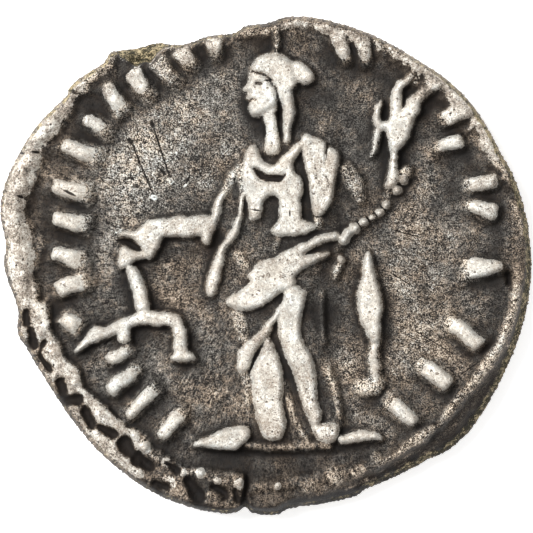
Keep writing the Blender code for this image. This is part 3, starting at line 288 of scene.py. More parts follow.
# Broad surfaces: points round each, width of its flanks and height
BODY_PATCHES = (
    # cloth in shadow, which the folds stand on
    (((-0.5, 4.3), (0.6, 4.4), (1.6, 4.5), (2.4, 4.1), (2.5, 3.0), (2.3, 1.8), (2.4, 1.0), (1.7, -0.5),
      (1.9, -2.2), (2.3, -4.0), (2.6, -5.4), (1.6, -6.0), (-0.6, -5.9), (-1.1, -4.6), (-1.3, -2.6),
      (-1.7, -1.2), (-2.0, -0.6), (-1.6, 0.9), (-1.9, 1.4), (-1.7, 2.4), (-0.9, 3.6)), 0.5, 0.33),
    # bodice: along the neckline, down to the girdle and up its other side
    (((-0.62, 3.98), (-0.42, 4.05), (-0.25, 3.8), (-0.1, 3.57), (0.12, 3.43), (0.35, 3.48), (0.65, 3.8),
      (1.0, 4.08), (1.2, 4.15), (1.06, 3.85), (0.9, 3.6), (0.88, 3.3), (1.05, 3.1), (1.18, 2.9),
      (1.2, 2.65), (1.1, 2.3), (1.08, 1.9), (1.15, 1.6), (1.5, 1.48), (1.7, 1.38), (1.5, 1.25),
      (1.1, 1.12), (0.75, 1.06), (0.4, 1.02), (0.15, 1.2), (0.32, 1.38), (0.42, 1.65), (0.47, 2.0),
      (0.48, 2.3), (0.3, 2.43), (0.1, 2.4), (-0.08, 2.2), (-0.18, 1.95), (-0.25, 1.65), (-0.4, 1.55),
      (-0.52, 1.7), (-0.56, 2.1), (-0.64, 2.45), (-0.75, 2.9), (-0.77, 3.4)), 0.2, 1.0),
    # sleeve over the far arm
    (((1.2, 4.2), (1.38, 4.45), (1.65, 4.4), (1.9, 4.25), (2.08, 4.07), (2.25, 4.0), (2.4, 3.85),
      (2.38, 3.3), (2.3, 2.8), (2.18, 2.4), (2.0, 2.0), (1.85, 1.8), (1.68, 1.78), (1.55, 2.0),
      (1.5, 2.5), (1.46, 3.0), (1.38, 3.5), (1.27, 3.9)), 0.2, 1.0),
    # near arm from the shoulder to the fingers, and the thumb's side of the hand
    (((-1.42, 2.5), (-1.55, 1.95), (-1.7, 1.5), (-1.85, 1.1), (-1.98, 0.78), (-2.12, 0.82), (-2.25, 1.05),
      (-2.7, 1.05), (-3.2, 1.02), (-3.55, 1.03), (-3.62, 0.85), (-3.72, 0.6), (-3.88, 0.38),
      (-4.02, 0.25), (-4.12, 0.45), (-4.28, 0.65), (-4.42, 0.9), (-4.55, 1.05), (-4.92, 1.12),
      (-4.75, 1.22), (-4.4, 1.2), (-4.15, 1.32), (-3.95, 1.55), (-3.65, 1.6), (-3.35, 1.55),
      (-3.1, 1.68), (-2.6, 1.7), (-2.1, 1.68), (-1.85, 1.72), (-1.75, 2.05), (-1.6, 2.4)), 0.22, 1.0),
    (((-5.02, 0.05), (-5.0, 0.35), (-4.92, 0.6), (-4.6, 0.48), (-4.3, 0.45), (-4.1, 0.32), (-4.4, 0.25),
      (-4.6, 0.12), (-4.75, -0.04), (-4.95, -0.06)), 0.18, 0.88),
    # long edge of the mantle
    (((-0.78, 2.5), (-0.86, 2.1), (-0.97, 1.7), (-1.1, 1.4), (-1.3, 1.05), (-1.5, 0.65), (-1.68, 0.3),
      (-1.88, -0.1), (-2.03, -0.5), (-2.03, -0.85), (-1.87, -0.98), (-1.75, -0.75), (-1.62, -0.35),
      (-1.5, 0.1), (-1.38, 0.5), (-1.18, 0.9), (-1.0, 1.2), (-0.88, 1.6), (-0.8, 2.1)), 0.18, 0.94),
    # mantle gathered across the hips
    (((-0.6, -0.35), (-0.5, -0.1), (-0.3, 0.1), (0.0, 0.2), (0.35, 0.27), (0.7, 0.5), (1.05, 0.68),
      (1.5, 0.9), (2.0, 1.08), (2.42, 1.12), (2.42, 0.95), (2.0, 0.87), (1.65, 0.72), (1.35, 0.5),
      (1.25, 0.35), (1.5, 0.38), (1.85, 0.42), (2.08, 0.42), (1.95, 0.3), (1.6, 0.12), (1.2, -0.12),
      (0.95, -0.35), (0.95, -0.55), (0.75, -0.72), (0.45, -0.85), (0.1, -1.12), (-0.25, -1.33),
      (-0.6, -1.45), (-1.0, -1.4), (-1.3, -1.28), (-1.37, -1.12), (-1.15, -0.98), (-0.85, -0.87),
      (-0.55, -0.65), (-0.5, -0.48)), 0.22, 1.0),
    # far leg under its cloth, and its foot
    (((0.68, -0.8), (0.95, -0.66), (1.15, -0.78), (1.28, -0.9), (1.25, -1.25), (1.15, -1.65),
      (1.12, -2.05), (1.18, -2.4), (1.35, -2.8), (1.53, -3.2), (1.63, -3.7), (1.67, -4.2),
      (1.72, -4.6), (1.8, -5.1), (1.72, -5.4), (1.55, -5.35), (1.4, -5.05), (1.25, -4.7),
      (1.1, -4.2), (0.97, -3.75), (0.8, -3.3), (0.6, -2.85), (0.47, -2.4), (0.43, -1.95),
      (0.53, -1.5), (0.62, -1.15)), 0.22, 0.95),
    (((1.58, -5.48), (1.9, -5.4), (2.4, -5.4), (2.46, -5.65), (2.3, -5.92), (1.95, -5.98), (1.72, -5.78)),
     0.2, 0.86),
    # panel of the skirt between the legs, and the fold that crosses to the knee
    (((-0.02, -2.45), (-0.15, -3.0), (-0.4, -3.45), (-0.47, -3.9), (-0.42, -4.4), (-0.33, -5.0),
      (-0.22, -5.5), (0.0, -5.8), (0.35, -5.85), (0.58, -5.65), (0.63, -5.2), (0.52, -4.7),
      (0.52, -4.1), (0.46, -3.5), (0.33, -3.0), (0.12, -2.55)), 0.25, 1.0),
    (((0.52, -1.38), (0.2, -1.78), (-0.12, -2.15), (-0.5, -2.48), (-0.8, -2.75), (-0.97, -3.05),
      (-1.0, -3.4), (-0.85, -3.6), (-0.62, -3.5), (-0.52, -3.2), (-0.42, -2.95), (-0.25, -2.65),
      (0.02, -2.3), (0.3, -1.85), (0.5, -1.6)), 0.17, 0.93),
    # near foot
    (((-2.5, -6.02), (-2.1, -5.85), (-1.8, -5.65), (-1.5, -5.52), (-1.1, -5.5), (-0.7, -5.5), (-0.68, -5.75),
      (-0.85, -6.0), (-1.1, -6.2), (-1.6, -6.2), (-2.1, -6.12)), 0.2, 0.95),
)
# Cloth that hangs at the far side, and the blob below it
CLOTH_END_PATCHES = (
    (((3.42, 0.45), (3.32, 0.1), (3.3, -0.3), (3.2, -0.75), (3.14, -1.25), (3.2, -1.75), (3.36, -2.15),
      (3.5, -2.5), (3.64, -2.6), (3.79, -2.45), (3.88, -2.0), (3.92, -1.5), (3.86, -1.0),
      (3.76, -0.45), (3.65, 0.0), (3.55, 0.4)), 0.22, 1.0),
    (((3.0, -3.95), (3.4, -3.85), (3.9, -3.78), (3.95, -4.2), (3.5, -4.35), (3.05, -4.3)), 0.25, 0.66),
)
# Scales: post, beam with both hangers, and the near pan
SCALES_PATCHES = (
    (((-4.7, -0.15), (-4.6, -0.6), (-4.5, -1.0), (-4.38, -1.5), (-4.02, -1.5), (-4.08, -0.95), (-4.2, -0.55),
      (-4.38, -0.2), (-4.55, -0.08)), 0.2, 0.96),
    (((-5.08, -2.0), (-4.9, -1.8), (-4.55, -1.66), (-4.15, -1.56), (-3.6, -1.6), (-3.2, -1.62),
      (-2.93, -1.75), (-2.8, -2.05), (-2.73, -2.5), (-2.72, -2.85), (-2.5, -3.02), (-2.45, -3.15),
      (-2.8, -3.2), (-3.25, -3.18), (-3.12, -2.95), (-3.1, -2.55), (-3.15, -2.15), (-3.28, -1.98),
      (-3.8, -1.96), (-4.35, -1.95), (-4.62, -2.05), (-4.68, -2.3), (-4.66, -2.5), (-4.8, -2.6),
      (-5.0, -2.5), (-5.02, -2.3)), 0.18, 0.97),
    (((-6.52, -2.86), (-6.3, -2.55), (-6.1, -2.3), (-5.85, -2.1), (-5.45, -2.08), (-5.05, -1.9),
      (-4.98, -2.08), (-5.25, -2.3), (-5.6, -2.45), (-6.0, -2.62), (-6.3, -2.8)), 0.18, 0.95),
)
# Body of the horn
HORN_PATCHES = (
    (((4.1, 2.75), (4.2, 3.3), (4.24, 3.8), (4.18, 4.3), (4.17, 4.8), (4.3, 5.12), (4.55, 5.2), (4.8, 5.5),
      (5.08, 5.65), (5.18, 5.4), (5.03, 5.1), (4.92, 4.8), (4.88, 4.5), (4.68, 4.2), (4.48, 3.95),
      (4.46, 3.4), (4.42, 2.95), (4.3, 2.72)), 0.2, 0.96),
)

# Slits: the points along each, its half widths from end to end, and its depth
CLOTH_SLITS = (
    # under the neckline, and the sleeve's groove
    (((-0.42, 3.4), (-0.15, 3.13), (0.15, 2.98), (0.45, 2.97), (0.64, 3.08)),
     (0.07, 0.17, 0.15, 0.14, 0.07), 0.6),
    (((2.06, 4.15), (2.04, 3.8), (2.02, 3.4)), (0.06, 0.05, 0.02), 0.4),
    # hollow of the hand
    (((-5.0, 0.88), (-4.65, 0.8), (-4.35, 0.62)), (0.13, 0.2, 0.12), 0.45),
    # under the ground line, a shallow groove whose darkening is a painted shadow of that line
    (((-2.4, -6.42), (-0.8, -6.42), (0.6, -6.42), (2.0, -6.4), (3.8, -6.2)),
     (0.05, 0.15, 0.16, 0.12, 0.04), 0.2),
)
# A crack that runs in from the lower edge, and a nick in the rim
DAMAGE_SLITS = (
    (((-0.73, -7.2), (-0.72, -8.4)), (0.06, 0.18), 1.2),
    (((-6.75, 6.05), (-6.45, 5.85)), (0.12, 0.05), 0.6),
)

# Scratches and other dark lines too thin for the mesh, and bright burrs that the scratches end in: both ends
# and half width
THIN_DARK_LINES = (
    ((-4.62, 4.27), (-3.86, 2.45), 0.035), ((-3.89, 4.86), (-3.28, 3.0), 0.035),
    ((-4.64, 4.3), (-4.6, 4.22), 0.08), ((-3.9, 4.88), (-3.88, 4.8), 0.07),
    ((-0.05, 6.33), (0.2, 6.34), 0.035), ((0.79, 1.88), (0.8, 1.72), 0.03),
    ((-0.5, 1.93), (-0.22, 1.9), 0.025), ((-6.9, 2.6), (-6.5, 2.4), 0.05), ((-2.6, 3.1), (-2.75, 2.8), 0.04),
    ((4.3, 1.25), (5.4, 0.95), 0.016), ((4.2, -0.2), (5.1, -0.75), 0.016), ((-8.45, 2.4), (-8.3, 2.35), 0.05),
    ((-7.95, 3.9), (-7.75, 3.88), 0.05), ((-8.4, 3.87), (-8.28, 3.85), 0.04),
    ((-0.4, 8.1), (-0.28, 8.12), 0.03), ((2.9, 7.4), (2.95, 7.38), 0.06), ((6.6, -3.7), (7.3, -3.2), 0.018),
    # from the second row here on, four short dark lines across the gaps between the horn's beads
    ((5.1, -2.2), (6.3, -2.95), 0.016), ((3.22, 1.32), (3.08, 1.52), 0.03),
    ((3.52, 1.52), (3.38, 1.72), 0.03), ((3.78, 1.68), (3.63, 1.88), 0.03), ((4.05, 1.9), (3.88, 2.06), 0.03),
    ((-3.6, 3.3), (-3.45, 3.15), 0.05), ((-4.7, 3.05), (-4.5, 2.95), 0.04),
)
BURRS = (
    ((-3.85, 2.36), (-3.82, 2.33), 0.1), ((-3.27, 2.93), (-3.25, 2.9), 0.12),
    ((-2.8, 2.72), (-2.68, 2.85), 0.05),
)

# Head of the figure in profile to the left, drawn in shares of its height about its middle
HEAD_PLACE = (0.14, 6.14)
HEAD_HEIGHT = 2.2
HEAD_FLANK = 0.3
HEAD_LEVEL = 0.97
HEAD_OUTLINE = (
    (0.0, 0.5), (-0.18, 0.44), (-0.29, 0.28), (-0.315, 0.13), (-0.4, -0.05), (-0.33, -0.09), (-0.35, -0.19),
    (-0.31, -0.24), (-0.33, -0.36), (-0.25, -0.46), (-0.08, -0.42), (0.1, -0.3), (0.3, -0.12), (0.4, 0.12),
    (0.33, 0.36), (0.18, 0.47),
)
HEAD_RIDGES = (
    # neck, and the lock that falls beside it
    (((0.0, -0.34), (0.0, -0.65), (0.02, -0.95)), (0.12, 0.09, 0.12), 0.74),
    (((0.26, -0.1), (0.28, -0.45), (0.25, -0.85)), (0.08, 0.07, 0.03), 0.9),
    # rolled hair and the knot behind
    (((-0.14, 0.35), (-0.02, 0.26), (0.12, 0.08), (0.3, 0.02)), (0.08, 0.08), 1.12),
    (((0.42, 0.22), (0.55, 0.14)), (0.14, 0.11), 0.85),
)
HEAD_SLITS = (
    # hairline, eye, mouth and the gap beside the neck
    (((-0.29, 0.24), (-0.15, 0.21), (-0.02, 0.11), (0.06, -0.02)), (0.03, 0.035, 0.03), 0.3),
    (((-0.25, 0.06), (-0.15, 0.05)), (0.04,), 0.32),
    (((-0.32, -0.215), (-0.23, -0.21)), (0.028,), 0.25),
    (((0.1, -0.02), (0.13, -0.3), (0.15, -0.5)), (0.035, 0.05, 0.05), 0.35),
)

# Lower face: laureate head in profile to the right, drawn upright
PORTRAIT = (((-0.6, 5.6), (0.9, 5.4), (2.0, 4.7), (2.65, 3.6), (2.7, 2.6), (3.15, 1.75), (3.62, 1.05),
             (3.05, 0.72), (3.2, 0.35), (2.98, 0.05), (3.12, -0.3), (2.85, -0.65), (3.05, -1.3),
             (2.5, -1.95), (1.3, -2.05), (0.95, -3.6), (1.7, -5.4), (-0.4, -6.2), (-2.9, -5.3),
             (-2.5, -3.3), (-2.95, -1.3), (-3.7, 1.4), (-2.9, 4.2)), 1.1, 0.7)
PORTRAIT_FORMS = (
    # cheek, brow, nose, lips, chin and ear
    (((-0.3, 2.2), (1.4, 1.9), (2.5, 1.0), (2.3, -0.9), (1.8, -1.8), (0.5, -1.7), (-0.5, 0.0)), 1.9, 1.06),
    (((1.35, 2.8), (2.0, 3.05), (2.6, 2.95), (2.5, 2.7), (2.0, 2.75)), 0.25, 0.87),
    (((2.75, 2.3), (3.1, 1.7), (3.4, 1.15), (2.95, 0.95), (2.6, 1.5)), 0.3, 0.92),
    (((2.55, 0.3), (3.0, 0.4), (2.8, 0.05), (3.0, -0.25), (2.55, -0.3)), 0.3, 0.88),
    (((2.2, -1.0), (2.85, -0.95), (2.8, -1.5), (2.2, -1.6)), 0.4, 0.9),
    (((-0.75, 1.7), (-0.35, 1.85), (-0.15, 1.3), (-0.45, 0.6), (-0.75, 1.0)), 0.2, 0.98),
)
PORTRAIT_SLITS = (
    # lids, nostril, mouth and the line of the jaw
    (((1.6, 2.15), (2.1, 2.35), (2.5, 2.1)), (0.05, 0.09, 0.05), 0.3),
    (((1.75, 1.9), (2.1, 1.78), (2.4, 1.88)), (0.04, 0.06, 0.04), 0.22),
    (((2.7, 0.9), (2.9, 1.05)), (0.08, 0.05), 0.22),
    (((2.4, 0.02), (2.7, 0.08), (3.0, 0.05)), (0.05, 0.07, 0.07), 0.3),
    (((-0.2, -0.3), (0.2, -1.3), (1.2, -1.9)), (0.08, 0.12, 0.08), 0.2),
)
# Folds of cloth along the bust's edge, and the ribbons of the wreath
BUST_RIDGES = (
    (((-2.7, -4.6), (-1.2, -5.2), (1.2, -4.9)), (0.08, 0.2, 0.1), 0.88),
    (((-2.6, -5.2), (-0.8, -5.75), (1.4, -5.4)), (0.08, 0.2, 0.1), 0.88),
    (((-3.4, 1.4), (-4.1, 0.5), (-4.2, -0.6)), (0.13,), 0.7),
    (((-3.4, 1.2), (-3.7, 0.0), (-4.5, -1.4)), (0.13,), 0.7),
)
WREATH = ((2.35, 3.95), (1.0, 4.15), (-0.8, 3.6), (-2.2, 2.65), (-3.3, 1.6))
WREATH_STEPS = 12
WREATH_LEAVES = 9
LEAF_LENGTH = 0.95
LEAF_HEIGHT = 1.0
LEAF_WIDTHS = (0.05, 0.16, 0.04)
LEAF_SPREAD = 26
# Locks of hair: those above and below the wreath as rise from it and sweep back along it, and the nape's
LOCKS = 13
FIRST_LOWER_LOCK = 5
LOCK_WIDTHS = (0.07, 0.15, 0.05)
LOCK_HEIGHT = 0.92
UPPER_LOCK = ((0.4, 0.0), (0.85, -0.12), (1.35, -0.42))
LOWER_LOCK = ((-0.4, 0.0), (-0.95, 0.1), (-1.5, -0.05))
NAPE_LOCKS = (
    ((-2.0, 0.9), (-2.3, 0.1), (-2.0, -0.8)), ((-2.8, 0.6), (-3.0, -0.3), (-2.6, -1.3)),
    ((-1.3, 0.4), (-1.6, -0.4), (-1.4, -1.2)), ((-2.3, -0.9), (-2.5, -1.5), (-2.2, -2.2)),
)
# Ring of strokes on the lower face: how many, how many stand together, their size, and the gap over the head
OBVERSE_STROKES = 34
STROKE_GROUP = 5
OBVERSE_STROKE = (7.1, 0.45, 0.15)
OBVERSE_GAP = (58, 122)

# Tones painted on the mesh, in the order that the finish reads them
TONES = ("polish", "worn", "grime", "lightness", "crust", "warmth")
# Tones of the field, of what wear has paled and of the rim, and how worn the tops of each face are
FIELD_LIGHTNESS = 0.275
PALED_LIGHTNESS = 0.55
FIELD_WARMTH = 0.26
RIM_WARMTH = 0.35
UPPER_WEAR = 0.72
LOWER_WEAR = 0.6
# Where the toning's colours stand between its darkest and its brightest
TONE_STOPS = (0.0, 0.11, 0.26, 0.4, 0.58, 0.82, 1.0)
# Patches of lighter or darker toning on each face: place, reach and amount. Some of the darker ones, beside
# the far leg and under the head, are painted shade
UPPER_SPOTS = (
    (-5.0, 3.0, 1.6, 0.29), (-3.0, 5.0, 1.5, 0.17), (-5.5, 0.0, 1.0, 0.05), (-3.0, -4.0, 1.3, 0.06),
    (5.2, 0.5, 1.2, 0.07), (5.0, -2.2, 1.4, 0.18), (1.7, -1.8, 0.5, -0.12), (1.9, -3.0, 0.6, -0.12),
    (2.1, -4.6, 0.5, -0.1), (3.0, 5.8, 1.4, -0.08), (1.7, 6.0, 0.8, -0.06), (-1.4, 6.0, 1.2, 0.08),
    (6.2, 4.6, 0.5, -0.1), (-4.7, 6.0, 0.8, -0.08), (-1.8, -8.2, 1.3, -0.22), (0.5, -6.5, 1.5, -0.08),
    (0.0, 4.7, 0.5, -0.15), (-1.0, 0.2, 0.5, -0.05), (5.5, -4.5, 0.8, -0.05), (3.5, -5.0, 1.0, 0.04),
    (2.6, -3.6, 0.7, 0.1), (1.2, 8.1, 0.8, 0.15), (-4.4, 2.9, 0.35, 0.1), (-2.1, 2.9, 0.3, 0.2),
    (-4.8, 1.1, 0.4, 0.08), (-3.3, 4.3, 0.3, -0.08), (-2.6, 3.6, 0.3, -0.1), (-1.4, 0.6, 0.4, 0.06),
    (-4.2, -7.7, 0.8, -0.15), (-3.7, 3.3, 0.25, -0.08), (-5.0, 4.2, 0.3, -0.08), (-4.9, 3.5, 0.3, -0.06),
)
LOWER_SPOTS = ((3.5, 3.5, 2.5, 0.15), (-4.5, -2.5, 2.0, 0.15))
# Where the toning is warmer or cooler
WARM_SPOTS = (
    (5.0, -2.0, 1.5, 0.4), (5.4, 0.7, 1.2, 0.15), (0.5, -6.8, 2.0, 0.3), (2.5, 6.5, 1.0, 0.2),
    (0.2, -4.5, 1.2, 0.3), (-3.0, -1.0, 1.0, 0.3), (-2.0, -4.5, 1.2, 0.3), (-8.4, 2.0, 1.2, 0.8),
    (-4.5, -3.6, 1.0, -0.3), (-2.0, -2.6, 0.8, -0.25), (-5.5, 1.2, 0.8, -0.25), (3.2, 4.2, 1.0, -0.2),
)
# Where the polished forms are darker: partly less wear, partly painted shade down the far leg, on the skirt
# and on the far sleeve
LESS_WORN_AND_SHADED_SPOTS = (
    (1.5, -4.6, 0.9, -0.35), (0.1, -2.6, 0.5, -0.4), (2.1, -5.7, 0.5, -0.3), (0.3, -5.7, 0.35, -0.3),
    (1.9, 0.35, 0.4, -0.3), (4.4, 3.2, 0.7, -0.25), (5.5, 6.1, 0.5, -0.2), (2.0, 3.0, 0.8, -0.32),
    (-2.5, 1.35, 0.9, -0.18), (0.1, -4.5, 0.8, -0.12), (0.7, 0.2, 0.5, -0.2),
)
# Width of the worn slope outside the border by bearing, and how far it falls at the edge
SLOPE_WIDTHS = (
    (0, 0.3), (30, 0.1), (180, 0.05), (255, 0.05), (275, 0.4), (300, 0.8), (325, 0.8), (345, 0.5), (360, 0.3),
)
SLOPE_FALL = 0.45
# How light that slope is, how much its streaks change that, and how far crust covers it
SLOPE_LIGHTNESS = 0.07
SLOPE_STREAKS = 0.06
SLOPE_CRUST = 0.58
# How bright the glints on that slope are, and where in its streaks they start and are full
SLOPE_GLINTS = 0.42
GLINT_RANGE = (0.8, 2.0)
# How far the toning in the lower face's grooves reaches up beside them
GROOVE_REACH = 0.25
# How far grime gathers close beside the forms and wide of them, and how far the wide part lies to the right
# and down, which makes it partly a painted shadow of the forms
NEAR_GRIME = 0.12
WIDE_GRIME_AND_SHADOW = 0.35
SHADOW_LEAN = (0.06, 0.18)
# Depths of hollows at which that grime and painted shadow start and are full, and those of cuts
NEAR_HOLLOWS = (0.05, 0.25)
WIDE_HOLLOWS = (0.02, 0.38)
CUT_HOLLOWS = (0.1, 0.3)
# Toning inside the rim: a brown band, then a dark valley, each as its distance from the rim, width and amount
RIM_BAND = (0.25, 0.25, 0.12)
RIM_VALLEY = (0.7, 0.3, 0.1)
# Tones of the coin's side, and how light it is by bearing
SIDE_TONES = {"polish": 0.0, "worn": 0.4, "grime": 0.1, "crust": 0.36, "warmth": 1.0}
SIDE_LIGHTNESS = (
    (0, 0.38), (30, 0.5), (75, 0.5), (92, 0.1), (110, 0.1), (130, 0.35), (165, 0.28), (190, 0.15),
    (225, 0.22), (250, 0.15), (290, 0.14), (315, 0.18), (345, 0.32), (360, 0.38),
)
# Dark seam between the rim and the coin's side: how dark and how wide it is by bearing, and its tone
SEAM_DEPTHS = (
    (0, 0.3), (25, 0.3), (45, 0.55), (60, 0.9), (85, 0.9), (100, 0.6), (120, 0.25), (140, 0.2), (160, 0.65),
    (180, 0.75), (225, 0.7), (250, 0.5), (270, 0.8), (285, 0.9), (300, 0.6), (330, 0.3), (345, 0.2),
    (360, 0.3),
)
SEAM_WIDTHS = (
    (0, 0.08), (60, 0.12), (100, 0.1), (150, 0.08), (180, 0.1), (225, 0.08), (300, 0.15), (360, 0.08),
)
SEAM_TONE = 0.5
# Width of the crusted line along the edge by bearing
CRUST_WIDTHS = (
    (0, 0.12), (25, 0.08), (60, 0.08), (88, 0.05), (105, 0.01), (180, 0.01), (255, 0.01), (275, 0.04),
    (300, 0.1), (345, 0.12), (360, 0.12),
)

# Textures of the metal: bumps to a millimetre, finer layers, how strong those are and how much they curl
COARSE = (1.0, 4.0, 0.6)
MOTTLE = (3.2, 4.0, 0.7)
FINE = (8.0, 3.0, 0.7)
DUST = (22.0, 2.0, 0.7)
HUE = (1.2, 6.0, 0.9)
CURLS = (6.0, 1.0, 0.5, 1.5)
CRACKS = (2.2, 3.0, 0.6, 0.6)
# Streaks that run outwards: their own texture, and how it is stretched round the middle and away from it
FLOW = (2.4, 4.0, 0.7)
FLOW_TURNS = 34.0
FLOW_RINGS = 2.0
FLOW_MIDDLE = 0.01
# How far textures are moved so that they don't follow each other
HUE_SHIFT = 40.0
CRACK_SHIFT = 20.0
PIT_SHIFT = 9.0
# Pits: how many to a millimetre, and how far their rim and floor lie from their middle
WIDE_PITS = (4.5, 0.22, 0.12)
SMALL_PITS = (7.0, 0.2, 0.1)
SMALL_PIT_SHARE = 0.6
PITTED_PATCHES = (-0.05, 0.1)
# Where masks start and are full: curls, cracks, scratches, bare silver, crust and the level of the upper face
CURL_EDGE = (0.04, 0.0)
CRACK_EDGE = (0.012, 0.0)
SCRATCH_EDGE = (1.2, 0.6)
BARE_EDGE = (0.4, 0.52)
CRUST_EDGE = (0.35, 0.65)
UPPER_LEVELS = (1.2, 1.4)
# Distance that stands for no scratch nearby
FAR_OFF = 10.0
# Height and strength of the material's finest relief, and how much its toning mirrors
BUMP_DEPTH = 0.03
BUMP_STRENGTH = 0.8
SPECULAR_LEVEL = 0.2

# Stage: white, the floor's roughness, the soft lights with the place and side of each in metres, and how far
# the camera sees
WHITE = (1, 1, 1, 1)
FLOOR_ROUGHNESS = 0.9
SOFT_LIGHTS = (("key light", (-0.11, 0.07, 0.17), 0.1), ("top light", (0.0, 0.0, 0.3), 0.3))
CAMERA_REACH = 10


def curve(points, closed=False, steps=5):
    """Smooth line through rows of points, which may carry a width as well."""
    knots = np.asarray(points, float)
    count = len(knots)
    if count == 2:
        share = np.linspace(0, 1, steps + 1)[:, None]
        return knots[0] * (1 - share) + knots[1] * share
    if closed:
        rim = np.vstack((knots[-1:], knots, knots[:2]))
    else:
        rim = np.vstack((2 * knots[:1] - knots[1:2], knots, 2 * knots[-1:] - knots[-2:-1]))
    share = np.linspace(0, 1, steps, endpoint=False)[:, None]
    rows = []
    for i in range(count if closed else count - 1):
        a, b, c, d = rim[i:i + 4]
        rows.append(0.5 * (2 * b + (c - a) * share + (2 * a - 5 * b + 4 * c - d) * share ** 2
                           + (3 * b - a - 3 * c + d) * share ** 3))
    if not closed:
        rows.append(knots[-1:])
    return np.vstack(rows)


def swept_line(points, widths):
    """Smooth line whose third column is the half width, spread evenly from end to end."""
    ends = np.linspace(0, 1, len(widths))
    spread = np.interp(np.linspace(0, 1, len(points)), ends, widths)
    return curve([(x, y, width) for (x, y), width in zip(points, spread)])


def nearest_on(a, b, x, y):
    """Share of the way from a to b that lies nearest to each place, and how far off the place is."""
    run = b[:2] - a[:2]
    share = ((x - a[0]) * run[0] + (y - a[1]) * run[1]) / max(run @ run, SHORTEST)
    share = np.clip(share, 0, 1)
    return share, np.hypot(x - a[0] - share * run[0], y - a[1] - share * run[1])


def rounded(share):
    """Profile that is steep at its foot and rounds over to its top."""
    return 1 - (1 - np.clip(share, 0, 1)) ** 2


def smooth(value, low, high):
    share = np.clip((value - low) / (high - low), 0, 1)
    return share * share * (3 - 2 * share)


def polar(centre, radius, degrees):
    angle = math.radians(degrees)
    return centre[0] + radius * math.cos(angle), centre[1] + radius * math.sin(angle)


def bearing_of(x, y):
    """Bearing of each place in degrees from +X, from 0 to 360."""
    return np.degrees(np.arctan2(y, x)) % 360


def round_table(bearing, table, column=1):
    """Value at each bearing, from a column of a table that runs once round."""
    columns = list(zip(*table))
    return np.interp(bearing, columns[0], columns[column])


def raise_to(grid, places, values):
    """Raise a grid at some places to at least these values."""
    grid[places] = np.maximum(grid[places], values)


def blended(grid, row, column):
    """Values at rows and columns of a grid that lie between whole ones."""
    a = np.clip(row.astype(int), 0, grid.shape[0] - 2)
    b = np.clip(column.astype(int), 0, grid.shape[1] - 2)
    s = column - b
    t = row - a
    near = grid[a, b] * (1 - s) + grid[a, b + 1] * s
    far = grid[a + 1, b] * (1 - s) + grid[a + 1, b + 1] * s
    return near * (1 - t) + far * t


